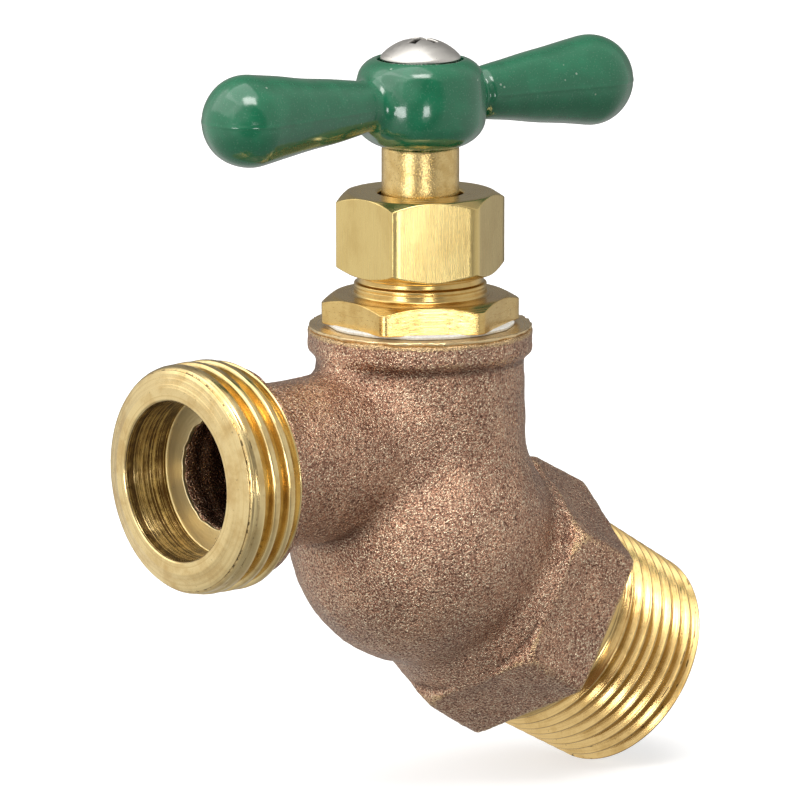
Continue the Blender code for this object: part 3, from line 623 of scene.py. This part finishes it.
bronze = cast_bronze()
thread_brass = turned_brass("thread_brass", (0.89, 0.70, 0.35), (0.60, 0.39, 0.14),
                            0.28, 0.03, (0.15, 0.27))
face_brass = turned_brass("face_brass", (0.86, 0.67, 0.38), (0.62, 0.43, 0.21),
                          0.25, 0.02, (0.22, 0.36))
bar_brass = satin_brass("bar_brass", (0.78, 0.60, 0.25), (0.62, 0.44, 0.16))
pipe_brass = turned_brass("pipe_brass", (0.80, 0.565, 0.24), (0.56, 0.36, 0.12),
                          0.28, 0.03, (0.15, 0.27))
fine_brass = turned_brass("fine_brass", (0.78, 0.56, 0.22), (0.55, 0.34, 0.10),
                          0.22, 0.012, (0.18, 0.30))
stem_brass = mottled_brass("stem_brass", (0.82, 0.61, 0.27), (0.60, 0.40, 0.14))
enamel = green_enamel()
nickel = nickel_plate()
gasket_white = dull("gasket_white", (0.80, 0.81, 0.80), (0.62, 0.63, 0.62), 0.3, 0.05, 0.85)
graphite = dull("graphite_packing", (0.09, 0.09, 0.10), (0.03, 0.03, 0.035), 0.4, 0.08, 0.55)
rubber = dull("black_rubber", (0.035, 0.035, 0.036), (0.015, 0.015, 0.016), 0.3, 0.03, 0.65)


# ---- the casting

NECK = 12.3
GLOBE = 15.6
GLOBE_Z = -10.9
TUBE = 9.7
PASSAGE = 6.3
HEX_START, HEX_END = 9.9, 20.0
HEX_APOTHEM = 14.29
HEX_ROUND = 16.75
INLET_BORE = 8.6
BONNET_BORE = 9.85
CASTING_LOW, CASTING_HIGH, CASTING_CELL = (-31.6, -17.4, -38.4), (26.9, 17.4, 14.8), 0.38
inlet_slope = (inlet_way.x, -inlet_way.z)


def cylinder(radial, along, radius, low, high, rounding):
    """Distance to a cylinder with rounded rims."""
    outward = radial - radius + rounding
    past = np.abs(along - (low + high) / 2.0) - (high - low) / 2.0 + rounding
    outside = np.hypot(np.maximum(outward, 0.0), np.maximum(past, 0.0))
    return np.minimum(np.maximum(outward, past), 0.0) + outside - rounding


def inlet_place(x, y, z):
    """The place along the inlet's axis, the height across it and the distance from it."""
    along = x * inlet_slope[0] - (z - CROSSING) * inlet_slope[1]
    across = -x * inlet_slope[1] - (z - CROSSING) * inlet_slope[0]
    return along, across, np.hypot(across, y)


def casting_outside(p):
    """Neck, collar, globe, outlet tube, and the inlet's band and hexagon."""
    x, y, z = p.T
    from_stem = np.hypot(x, y)
    neck = cylinder(from_stem, z, NECK, -12.0, 13.0, 0.2)
    collar = cylinder(from_stem, z, 13.25, 10.85, 16.5, 0.95)
    globe = np.sqrt(x * x + y * y + (z - GLOBE_Z) ** 2) - GLOBE
    shape = smooth_min(smooth_min(neck, globe, 1.9), collar, 0.9)
    from_outlet = np.hypot(y, z)
    tube = cylinder(from_outlet, -x, TUBE, 0.0, 28.0, 0.3)
    flange = cylinder(from_outlet, -x, 12.45, 27.3, 28.45, 0.45)
    plug = cylinder(from_outlet, -x, 11.6, 27.0, BORE_STEP - 0.35, 0.1)
    tube = np.minimum(smooth_min(tube, flange, 1.6), plug)
    shape = smooth_min(shape, tube, np.interp(z, [-8.0, 4.0], [1.7, 3.4]))
    along, across, from_inlet = inlet_place(x, y, z)
    band_radius = np.interp(along, [4.0, 10.3, 13.2], [12.8, 14.7, HEX_APOTHEM - 0.35])
    band = np.maximum((from_inlet - band_radius) * 0.957, np.maximum(along - 13.2, -along))
    half = 0.5 * across
    draft = 0.02 * (along - HEX_START)
    flats = smooth_max(smooth_max(np.abs(y), np.abs(half * math.sqrt(3.0) + 0.5 * y), 0.7),
                       np.abs(half * math.sqrt(3.0) - 0.5 * y), 0.7)
    corner_cone = (from_inlet - 15.2 - 1.05 * (along - HEX_START)) * 0.7
    hexagon = smooth_max(flats - HEX_APOTHEM - draft, from_inlet - HEX_ROUND - draft, 0.4)
    hexagon = smooth_max(hexagon, corner_cone, 0.5)
    hexagon = smooth_max(hexagon, np.maximum(HEX_START - along, along - HEX_END), 0.5)
    return smooth_min(smooth_min(shape, band, 0.9), hexagon, 0.5)


def casting_inside(p):
    """The bores and passages; the seat's lip stands up in the chamber."""
    x, y, z = p.T
    from_stem = np.hypot(x, y)
    bonnet_bore = np.maximum(from_stem - BONNET_BORE, 7.0 - z)
    chamber = cylinder(from_stem, z, 9.4, -7.0, 9.0, 0.6)
    lip = np.maximum(from_stem - 7.0, z + 5.0)
    upper = np.minimum(bonnet_bore, smooth_max(chamber, -lip, 0.3))
    seat = cylinder(from_stem, z, 5.6, -14.0, -4.0, 0.1)
    low_globe = np.sqrt(x * x + y * y + (z - GLOBE_Z) ** 2) - 12.4
    low_globe = smooth_max(low_globe, z + 9.8, 0.8)
    along, _, from_inlet = inlet_place(x, y, z)
    inlet = cylinder(from_inlet, along, INLET_BORE, 9.6, 30.0, 0.2)
    passage = cylinder(np.hypot(y, z), -x, PASSAGE, -4.0, 45.0, 0.1)
    hollow = smooth_min(np.minimum(upper, seat), smooth_min(low_globe, inlet, 0.8), 0.2)
    return np.minimum(hollow, np.where(x < -4.0, passage, 1.0))


def casting_field(p):
    """The whole casting, cut off just below the collar's machined face."""
    rim = p[:, 2] - (levels("body")[1] - 0.45)
    return smooth_max(smooth_max(casting_outside(p), rim, 0.2), -casting_inside(p), 0.3)


def edge_value(field, points):
    """How convex (positive) or hollow (negative) the surface is, about -1 to 1."""
    reach = 0.8
    total = -6.0 * field(points)
    for axis in range(3):
        step = np.zeros(3)
        step[axis] = reach
        total += field(points + step) + field(points - step)
    return np.clip(total / reach ** 2 * 0.9, -1.5, 1.5)


def cast_uneven(p):
    """How far the cast skin stands off its ideal shape."""
    return 0.075 * waves(p, 6.5, 11) + 0.035 * waves(p, 2.4, 12) + 0.02 * waves(p, 1.1, 13)


def make_casting():
    points, quads = surface_of(casting_field, CASTING_LOW, CASTING_HIGH, CASTING_CELL)
    edge = edge_value(casting_field, points) * (1.0 - smooth_step(-points[:, 0], 25.8, 27.0))
    slope = unit(gradient(casting_field, points))
    uneven = cast_uneven(points)
    lift = np.where(casting_outside(points) > -1.0, uneven, 3.0 * uneven)
    points = points + slope * lift[:, None]
    # How deep a point lies inside the outer skin; the bronze darkens the bores with it as painted shade.
    depth = smooth_step(-casting_outside(points), 0.6, 1.6)
    mesh = skin("casting", points, quads, tilted(slope, cast_uneven, points),
                [("edge", edge), ("inside", depth)])
    finished("body_casting", mesh, VALVE, bronze, "body")


make_casting()


# ---- the machined ends of the casting

HOSE_PITCH = 25.4 / 11.5
HOSE_CREST = 13.5
HOSE_ROOT = 12.1
HOSE_FIRST_CREST = 28.75
HOSE_BACK, HOSE_FRONT = 28.2, 35.75
HOSE_BORE = 9.36
HOSE_SIDES = 180


def hose_depth(along):
    """The hose thread's grooves fade out under the land at the nose."""
    return np.interp(along, [34.3, 35.2, 36.0], [HOSE_CREST - HOSE_ROOT, 0.14, 0.06])


def hose_crest(along):
    """The crest radius, with the skirt behind the first ridge."""
    return np.interp(along, [28.1, 28.75, 29.5, 30.2, 34.3, 35.3, 35.9],
                     [12.35, 13.0, 13.38, HOSE_CREST, HOSE_CREST, 13.42, 13.25])


def make_outlet_thread():
    shape = ridge_shape(HOSE_PITCH, 0.62, 0.35, 0.16, 0.06)
    angles = around(HOSE_SIDES)
    ragged = edge_noise(angles, 12.0, 2.4, 21)
    step_edge = edge_noise(angles, 6.4, 1.8, 22)
    chatter = edge_noise(angles, 13.0, 1.0, 23)
    outlines = []
    for k, angle in enumerate(angles):
        back = HOSE_BACK + 0.14 * ragged[k]
        helix = helix_rows(angle, back, HOSE_FRONT, HOSE_FIRST_CREST, HOSE_PITCH, shape, hose_crest,
                           hose_depth)
        rows = len(helix)
        inner = PASSAGE + 0.12 + 0.12 * step_edge[k]
        rest = [(13.24, 35.85), (13.2, 35.95), (13.05, 36.12), (12.86, 36.2), (12.86, 36.3),
                (12.90, 36.38), (12.6, 36.5), (10.85, OUTLET_END), (9.58, OUTLET_END),
                (HOSE_BORE, 36.85), (HOSE_BORE, BORE_STEP), (inner, BORE_STEP),
                (inner, BORE_STEP - 0.6), (11.65, BORE_STEP - 0.6), (11.65, back)]
        helix[:, 0] += 0.012 * chatter[k] * (helix[:, 0] > 13.2)
        outlines.append(np.concatenate([helix, eased(rest, 0.10)]))
    mesh = revolved("outlet_thread", angles, outlines, rows, len(shape))
    finished("body_outlet_thread", mesh, OUTLET, thread_brass, "body")


PIPE_PITCH = 25.4 / 14.0
PIPE_BACK, PIPE_FRONT = 19.6, 36.6
PIPE_LAST_CREST, PIPE_CREST = 36.3, 13.22
PIPE_TAPER = 1.0 / 32.0
PIPE_SIDES = 168


def pipe_crest(along):
    return PIPE_CREST + (PIPE_LAST_CREST - along) * PIPE_TAPER


def pipe_depth(along):
    """The grooves run out shallow towards the hexagon."""
    return np.interp(along, [PIPE_BACK, 20.6, 22.6, 36.0, 37.0], [0.12, 0.25, 1.15, 1.25, 1.1])


def make_pipe_thread():
    shape = ridge_shape(PIPE_PITCH, 0.12, 0.08, 0.10, 0.06)
    angles = around(PIPE_SIDES)
    outlines = []
    for angle in angles:
        helix = helix_rows(angle, PIPE_BACK, PIPE_FRONT, PIPE_LAST_CREST, PIPE_PITCH, shape,
                           pipe_crest, pipe_depth)
        rows = len(helix)
        nose = min(helix[-1, 0], 12.0)
        rest = [(nose, 36.75), (11.25, INLET_END), (9.2, INLET_END), (INLET_BORE, INLET_END - 0.6),
                (INLET_BORE, PIPE_BACK)]
        outlines.append(np.concatenate([helix, eased(rest, 0.12)]))
    mesh = revolved("pipe_thread", angles, outlines, rows, len(shape))
    finished("body_pipe_thread", mesh, INLET, pipe_brass, "body")


def make_collar_face():
    """The machined face on top of the collar, with the ragged rim that the cut leaves."""
    top = levels("body")[1]
    angles = around(260)
    rim = edge_noise(angles, 13.0, 2.2, 31)
    lip = edge_noise(angles, 13.0, 1.1, 32)
    outlines = []
    for k in range(len(angles)):
        edge = 13.08 + 0.10 * rim[k] + 0.05 * lip[k]
        rise = 0.07 + 0.05 * lip[k]
        outline = [(9.95, top - 0.6), (BONNET_BORE, top - 0.5), (BONNET_BORE, top - 0.30),
                   (10.1, top - 0.06), (10.3, top - 0.05), (11.8, top - 0.04), (edge - 0.35, top - 0.05),
                   (edge - 0.12, top - 0.05 + 0.6 * rise), (edge - 0.03, top - 0.05 + rise),
                   (edge + 0.04, top - 0.08), (edge + 0.02, top - 0.25), (edge - 0.2, top - 0.6)]
        outlines.append(np.array(outline))
    mesh = revolved("collar_face", angles, outlines)
    finished("body_collar_face", mesh, VALVE, face_brass, "body")


make_outlet_thread()
make_pipe_thread()
make_collar_face()


# ---- bonnet, nut and packing

SIXTH = math.radians(60.0)
HALF_SIXTH = math.radians(30.0)
HEX_HOLLOW = 0.07
PAIR = 0.006
NO_FACET = math.radians(29.8)


def hexagon_angles(apothem, rim, turn):
    """Column angles for a turned hexagon, with close pairs at each edge of its corner facets."""
    half = math.acos(min(apothem / rim, 1.0))
    steps = [-half + PAIR] + list(np.linspace(-half, half, 13)[1:-1]) + [half - PAIR]
    if half < NO_FACET:
        facet = SIXTH - 2.0 * half
        steps += [half + PAIR, half + 0.5 * facet, half + facet - PAIR]
    return np.array([turn + HALF_SIXTH + SIXTH * face + step for face in range(6) for step in steps])


def hexagon_radius(angle, apothem, rim, turn):
    """The radius of a hexagon with turned corners and flats worn very slightly hollow."""
    from_flat = (angle - turn) % SIXTH - HALF_SIXTH
    worn = HEX_HOLLOW * (1.0 - (math.tan(from_flat) / math.tan(HALF_SIXTH)) ** 2)
    return min((apothem - worn) / math.cos(from_flat), rim)


def make_bonnet():
    low, high = levels("bonnet_gasket")[1] - 0.12, 17.85
    apothem, rim, turn = 10.35, 11.71, math.radians(27.9)
    angles = hexagon_angles(apothem, rim, turn)
    outlines = []
    for angle in angles:
        radius = hexagon_radius(angle, apothem, rim, turn)
        drop = 0.7 * (radius - apothem) / (rim - apothem)
        outline = [(9.55, 8.0), (9.55, low), (radius, low), (radius, high - drop - 0.08),
                   (apothem - 0.12, high - 0.03), (apothem - 0.6, high), (8.9, high - 0.02),
                   (8.25, high), (7.95, high + 0.08), (7.83, high + 0.3), (7.83, 18.75),
                   (7.72, 18.82), (7.83, 18.89), (7.83, 19.25),
                   (7.42, 19.45), (7.42, 20.0), (7.5, 20.2), (7.5, 27.2), (7.1, 27.6), (6.4, 27.6),
                   (6.4, 21.4), (6.0, 21.4), (6.0, 17.0), (4.95, 16.5), (4.95, 10.8), (5.6, 10.5),
                   (5.6, 8.0)]
        outlines.append(rounded(outline, 0.10, 2))
    mesh = revolved("bonnet", angles, outlines)
    finished("bonnet_turned", mesh, VALVE, fine_brass, "bonnet")


def make_packing_nut():
    low, high = levels("packing_nut")
    corner, turn = 10.24, math.radians(31.4)
    apothem = corner * math.cos(HALF_SIXTH)
    angles = hexagon_angles(apothem, corner, turn)
    outlines = []
    for angle in angles:
        radius = hexagon_radius(angle, apothem, corner, turn)
        share = (radius - apothem) / (corner - apothem)
        side = radius - 0.10 * share
        outline = [(8.2, low), (apothem - 0.15, low), (side, low + 0.75 * share + 0.08),
                   (side, high - 0.85 * share - 0.10), (apothem - 0.15, high - 0.04),
                   (apothem - 0.7, high), (6.9, high - 0.02), (5.28, high), (5.05, high - 0.2),
                   (5.05, 28.5), (7.8, 28.5), (7.8, low + 0.4)]
        outlines.append(rounded(outline, 0.13, 2))
    mesh = revolved("packing_nut", angles, outlines)
    finished("packing_nut_turned", mesh, VALVE, bar_brass, "packing_nut")


def make_gasket():
    low, high = levels("bonnet_gasket")
    angles = around(160)
    squeeze = edge_noise(angles, 11.2, 3.0, 41)
    outlines = []
    for k in range(len(angles)):
        edge = half_width("bonnet_gasket") - 0.12 + 0.10 * squeeze[k]
        outline = [(9.9, low - 0.2), (edge - 0.1, low - 0.2), (edge, 0.5 * (low + high)),
                   (edge - 0.3, high), (9.9, high)]
        outlines.append(rounded(outline, 0.06, 2))
    mesh = revolved("bonnet_gasket", angles, outlines)
    finished("bonnet_gasket_ring", mesh, VALVE, gasket_white, "bonnet_gasket")


def make_plain_rings():
    """The washer, packing rings and gland inside the nut."""
    for node in ("packing_washer", "packing_ring_lower", "packing_ring_middle", "packing_ring_upper",
                 "packing_gland"):
        low, high = levels(node)
        packing = "_ring_" in node
        inner, outer = 4.88, half_width(node)
        bulge = 0.12 if packing else 0.0
        middle = 0.5 * (low + high)
        outline = [(inner, low), (outer - bulge, low), (outer, middle), (outer - bulge, high),
                   (inner, high), (inner + 0.5 * bulge, middle)]
        mesh = turned(node, outline, 0.12)
        finish = graphite if packing else fine_brass
        finished(node + "_turned", mesh, VALVE, finish, node)


make_bonnet()
make_packing_nut()
make_gasket()
make_plain_rings()


# ---- closing disc

def make_closing_disc():
    disc = [(2.2, -1.6), (7.3, -1.6), (7.3, -3.3), (7.7, -3.3), (8.1, -2.9), (8.1, 0.8), (7.7, 1.2),
            (5.0, 1.2), (5.0, 3.4), (4.6, 3.8), (2.7, 3.8), (2.7, 3.0), (3.6, 3.0), (3.6, 1.2),
            (2.2, 1.2)]
    finished("seat_disc_turned", turned("seat_disc", disc, 0.15), VALVE, fine_brass,
             "seat_disc", "closing_disc")
    low, high = levels("seat_washer")
    washer = [(2.35, low), (6.3, low), (7.0, low + 0.7), (6.9, high), (2.35, high)]
    finished("seat_washer_moulded", turned("seat_washer", washer, 0.3), VALVE, rubber,
             "seat_washer", "closing_disc")


make_closing_disc()
for kept_node in ("seat_retainer", "seat_screw"):
    frame["nodes"][kept_node].material_slots[0].material = fine_brass


# ---- spindle

ARM_TURN = math.radians(-1.6)
SPINDLE = VALVE @ Matrix.Rotation(ARM_TURN, 4, "Z")
ARM_Z = 40.84
ARM_END = 25.4
ARM_NECK = 2.85
BULB = 5.4
HUB_Z = 40.3
HANDLE_CELL, SCREW_CELL, WASHER_CELL = 0.27, 0.12, 0.13
STEM_PITCH, STEM_CREST, STEM_GROOVE = 2.54, 5.55, 0.97
STEM = 4.58
QUARTER = math.radians(90.0)


def make_stem():
    shape = ridge_shape(STEM_PITCH, 0.65, 1.1, 0.1)
    angles = around(96)
    outlines = []
    for angle in angles:
        helix = helix_rows(angle, 4.9, 14.7, 5.0, STEM_PITCH, shape, lambda along: STEM_CREST,
                           lambda along: STEM_GROOVE)
        rows = len(helix)
        square = min(3.1 / math.cos((angle + 0.5 * QUARTER) % QUARTER - 0.5 * QUARTER), 4.2)
        rest = [(STEM, 14.9), (STEM, 25.0), (STEM, 35.1), (4.5, 35.5), (4.3, 35.6),
                (square + 0.02, 35.6), (square, 35.75), (square, 42.8), (square - 0.2, 43.0),
                (2.3, 43.0), (2.2, 42.9), (2.2, 36.6), (0.0, 36.6), (0.0, 1.5), (3.1, 1.5),
                (3.3, 1.7), (3.3, 2.5), (3.1, 2.7), (2.5, 2.7), (2.4, 2.8), (2.4, 4.1), (4.2, 4.1),
                (STEM, 4.5)]
        outlines.append(np.concatenate([helix, np.array(rest)]))
    mesh = revolved("stem", angles, outlines, rows, len(shape))
    finished("stem_turned", mesh, SPINDLE, stem_brass, "stem", "spindle")


def arm_distance(along, radial):
    """A slim neck that swells in a straight taper to a round end."""
    start = 7.4
    length = ARM_END - start
    lean = (ARM_NECK - BULB) / length
    slope = math.sqrt(1.0 - lean * lean)
    side = along - start
    across = -lean * radial + slope * side
    taper = radial * slope + side * lean - ARM_NECK
    near = np.hypot(radial, side) - ARM_NECK
    far = np.hypot(radial, side - length) - BULB
    inner = np.where(side < 0.0, radial - ARM_NECK, near)
    return np.where(across < 0.0, inner, np.where(across > slope * length, far, taper))


def handle_outside(p):
    """A bulging hub with a blended left arm and a grooved right one."""
    x, y, z = p.T
    low, high = levels("handle")[0], 46.0
    wall = 7.8 - (z - HUB_Z) ** 2 / 26.0
    hub = cylinder(np.hypot(x, y), z, wall, low, high, np.where(z < 0.5 * (low + high), 3.0, 2.0))
    radial = np.hypot(y, z - ARM_Z)
    left = arm_distance(-x, radial)
    right = arm_distance(x - 0.15, radial)
    seam = 0.05 * np.exp(-((z - ARM_Z) / 0.22) ** 2) * smooth_step(np.abs(x), 8.0, 11.0)
    arms = np.where(x < 0.0, smooth_min(hub, left, 1.6), smooth_min(hub, right, 0.4))
    groove = np.where(x > 0.0, np.hypot(x - 8.25, np.maximum(radial - 2.85, 0.0)), 9.0)
    arms = arms + 0.40 * np.exp(-(groove / 0.50) ** 2)
    return arms - seam


def handle_field(p):
    """The handle with the screw's recess, the screw's hole and the square socket."""
    x, y, z = p.T
    from_stem = np.hypot(x, y)
    recess = np.maximum(from_stem - 5.1, 44.4 - z)
    hole = from_stem - 2.25
    socket = np.maximum(np.maximum(np.abs(x), np.abs(y)) - 3.4, z - 43.4)
    hollow = np.minimum(np.minimum(recess, np.maximum(hole, z - 46.5)), socket)
    return smooth_max(handle_outside(p), -hollow, 0.35)


def coat_uneven(p):
    """How far the enamel's runs stand off the handle's shape."""
    return 0.05 * waves(p, 7.0, 51)


def make_handle():
    reach = ARM_END + BULB + 0.6
    points, quads = surface_of(handle_field, (-reach, -8.4, 34.9), (reach, 8.4, 46.9), HANDLE_CELL)
    slope = unit(gradient(handle_field, points, 0.04))
    points = points + slope * coat_uneven(points)[:, None]
    mesh = skin("handle", points, quads, tilted(slope, coat_uneven, points))
    finished("handle_enamelled", mesh, SPINDLE, enamel, "handle", "spindle")


DOME_TOP = 48.25
DOME_RADIUS = (4.78 ** 2 + 2.2 ** 2) / (2.0 * 2.2)


def screw_field(p):
    """A domed head with a cross recess, on a plain shank."""
    x, y, z = p.T
    radial = np.hypot(x, y)
    dome = np.sqrt(x * x + y * y + (z - DOME_TOP + DOME_RADIUS) ** 2) - DOME_RADIUS
    head = smooth_max(np.maximum(dome, 45.7 - z), radial - 4.74, 0.25)
    shank = np.maximum(radial - 1.9, np.maximum(z - 46.5, 37.4 - z))
    turn = math.radians(20.0) - ARM_TURN
    u = np.abs(x * math.cos(turn) + y * math.sin(turn))
    v = np.abs(y * math.cos(turn) - x * math.sin(turn))
    depth = 48.35 - z
    long_half = 2.35 - 0.55 * depth
    thin_half = 0.50 - 0.05 * depth
    slot = smooth_min(np.maximum(u - long_half, v - thin_half),
                      np.maximum(v - long_half, u - thin_half), 0.35)
    slot = np.maximum(slot, 46.7 - z)
    return smooth_max(np.minimum(head, shank), -slot, 0.12)


def make_handle_screw():
    points, quads = surface_of(screw_field, (-5.1, -5.1, 37.0), (5.1, 5.1, 48.6), SCREW_CELL)
    radial = np.hypot(points[:, 0], points[:, 1])
    below = DOME_TOP - radial ** 2 / (2.0 * DOME_RADIUS) - points[:, 2]
    # Where the cross recess lies, for the painted shade in it.
    recess = smooth_step(below, 0.10, 0.45) * (radial < 3.2)
    mesh = skin("handle_screw", points, quads, unit(gradient(screw_field, points, 0.03)),
                [("inside", recess)])
    finished("handle_screw_domed", mesh, SPINDLE, nickel, "handle_screw", "spindle")


def washer_field(p):
    """A flat ring with one cut."""
    x, y, z = p.T
    radial = np.hypot(x, y)
    ring = smooth_max(np.maximum(radial - 4.3, 2.2 - radial), np.abs(z - 45.05) - 0.35, 0.15)
    return smooth_max(ring, np.where(x > 0.0, 0.3 - np.abs(y), -1.0), 0.1)


def make_handle_washer():
    points, quads = surface_of(washer_field, (-4.7, -4.7, 44.4), (4.7, 4.7, 45.7), WASHER_CELL)
    mesh = skin("handle_washer", points, quads, unit(gradient(washer_field, points, 0.03)))
    finished("handle_washer_split", mesh, SPINDLE, nickel, "handle_washer",
             "spindle")


make_stem()
make_handle()
make_handle_screw()
make_handle_washer()


# ---- floor, light and camera

CAMERA_BACK = Vector((-0.6305, -0.7527, 0.1896)).normalized()
CAMERA_RIGHT = Vector((0.7666, -0.6421, 0.0)).normalized()
CAMERA_UP = CAMERA_BACK.cross(CAMERA_RIGHT)
AIM = VALVE @ (Vector((-3.098, 0.0, 5.422)) * MM)
FOCAL_PIXELS, IMAGE_PIXELS, SENSOR_MM = 8486.0, 800.0, 36.0
FLOOR_UP = 0.0009
FLOOR_HALF = 6.0


def make_floor():
    """A plain white floor that only the camera and the shadows see, so that it adds no glare."""
    low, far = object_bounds()[0].z, FLOOR_HALF
    mesh = bpy.data.meshes.new("floor")
    mesh.from_pydata([(-far, -far, 0), (far, -far, 0), (far, far, 0), (-far, far, 0)], [], [(0, 1, 2, 3)])
    floor = bpy.data.objects.new("floor", mesh)
    floor.location.z = low + FLOOR_UP
    bpy.context.scene.collection.objects.link(floor)
    finish = Finish("floor_paper")
    finish.give(Base_Color=(0.62, 0.62, 0.62), Roughness=0.9, Specular_IOR_Level=0.0,
                Emission_Color=(1.0, 1.0, 1.0), Emission_Strength=0.62)
    mesh.materials.append(finish.material)
    floor.visible_glossy = False
    floor.visible_diffuse = False
    floor.visible_shadow = False


def heading(azimuth, elevation):
    """A direction from the object, by its angle to the right of the camera and above level."""
    front = Vector((CAMERA_BACK.x, CAMERA_BACK.y, 0.0)).normalized()
    azimuth, elevation = math.radians(azimuth), math.radians(elevation)
    level_way = front * math.cos(azimuth) + CAMERA_RIGHT * math.sin(azimuth)
    return level_way * math.cos(elevation) + Vector((0, 0, 1)) * math.sin(elevation)


class Studio(Nodes):
    """The world: a white tent, dim in front and behind, with a few bright patches and panels."""

    def __init__(self):
        self.world = bpy.data.worlds.new("studio")
        self.world.use_nodes = True
        super().__init__(self.world.node_tree)
        self.tree.nodes.clear()
        self.way = self.node("ShaderNodeTexCoord").outputs["Generated"]

    def along(self, vector):
        return self.node("ShaderNodeVectorMath", {0: self.way, 1: tuple(vector)},
                         operation="DOT_PRODUCT").outputs["Value"]

    def disc(self, azimuth, elevation, inner, outer, factor):
        """1 outside a round patch of the sky and factor inside it, changing between two radii."""
        inner, outer = math.cos(math.radians(inner)), math.cos(math.radians(outer))
        return self.range(self.along(heading(azimuth, elevation)), outer, inner, 1.0, factor)

    def panel(self, azimuth, elevation, wide, high, strength):
        """A rectangular light; its half sizes are in degrees."""
        centre = heading(azimuth, elevation)
        side = Vector((0, 0, 1)).cross(centre).normalized()
        up = centre.cross(side)
        inside = self.range(self.along(centre), 0.1, 0.3)
        for vector, half in ((side, wide), (up, high)):
            offset = self.maths("ABSOLUTE", self.along(vector))
            low = math.sin(math.radians(max(half - PANEL_SOFT, 0.5)))
            edge = math.sin(math.radians(half + PANEL_SOFT))
            inside = self.times(inside, self.range(offset, low, edge, 1.0, 0.0))
        return self.times(inside, strength)

    def shine(self, strength):
        """Light the scene with the tent, and show plain white behind the object."""
        tent = self.node("ShaderNodeBackground", {"Color": (1.0, 0.985, 0.96, 1.0), "Strength": strength})
        plain = self.node("ShaderNodeBackground", {"Color": (1.0, 1.0, 1.0, 1.0)})
        seen = self.node("ShaderNodeLightPath").outputs["Is Camera Ray"]
        both = self.node("ShaderNodeMixShader", {0: seen, 1: tent.outputs[0], 2: plain.outputs[0]})
        self.node("ShaderNodeOutputWorld", {0: both.outputs[0]})
        bpy.context.scene.world = self.world


# Azimuths from the camera's side, elevations and radii in degrees, then the factor.
PATCHES = (
    (4.0, 8.0, 35.0, 46.0, 0.36),  # the dim front
    (180.0, 14.0, 25.0, 60.0, 0.34),  # the dim back
    (0.0, -80.0, 30.0, 75.0, 0.48),  # below
    (-20.0, 26.0, 4.0, 30.0, 2.8),  # glow on the globe and the tube
)
# Azimuth, elevation and half sizes in degrees, then the strength.
PANELS = (
    (8.0, 62.0, 13.0, 9.0, 8.0),  # the small highlights on the handle
    (-80.0, 38.0, 30.0, 20.0, 1.0),  # a pale veil on the handle's left end
)
PANEL_SOFT = 3.0
TENT_LEFT, TENT_RIGHT = 0.87, 0.66
# Name, azimuth, height, width, tallness, watts, distance from the stem.
LAMPS = (
    ("panel_left", -34.0, -0.012, 0.125, 0.115, 0.36, 0.5),
    ("panel_right", 14.5, -0.012, 0.090, 0.115, 0.27, 0.5),
    ("ceiling", -60.0, 0.60, 0.55, 0.55, 1.2, 0.15),
)


def make_world():
    studio = Studio()
    tent = studio.range(studio.along(CAMERA_RIGHT), -0.75, 0.45, TENT_LEFT, TENT_RIGHT)
    for patch in PATCHES:
        tent = studio.times(tent, studio.disc(*patch))
    for panel in PANELS:
        tent = studio.plus(tent, studio.panel(*panel))
    studio.shine(tent)


def make_lights():
    """Softboxes that face the stem; heights are above the outlet's axis, in metres like the sizes."""
    for name, azimuth, height, width, tall, power, distance in LAMPS:
        lamp = bpy.data.lights.new(name, "AREA")
        lamp.shape = "RECTANGLE"
        lamp.size, lamp.size_y = width, tall
        lamp.energy = power
        holder = bpy.data.objects.new(name, lamp)
        holder.location = VALVE @ (heading(azimuth, 0.0) * distance + Vector((0.0, 0.0, height)))
        holder.rotation_euler = (holder.location - AIM).to_track_quat("Z", "Y").to_euler()
        bpy.context.scene.collection.objects.link(holder)


def make_camera():
    lens = bpy.data.cameras.new("camera")
    lens.lens = SENSOR_MM * FOCAL_PIXELS / IMAGE_PIXELS
    lens.sensor_width = SENSOR_MM
    lens.clip_start, lens.clip_end = 0.05, 50.0
    camera = bpy.data.objects.new("camera", lens)
    turn = Matrix((CAMERA_RIGHT, CAMERA_UP, CAMERA_BACK)).transposed().to_4x4()
    camera.matrix_world = Matrix.Translation(AIM + CAMERA_BACK) @ turn
    bpy.context.scene.collection.objects.link(camera)
    bpy.context.scene.camera = camera
    bpy.context.scene.view_settings.view_transform = "Standard"


make_floor()
make_world()
make_lights()
make_camera()
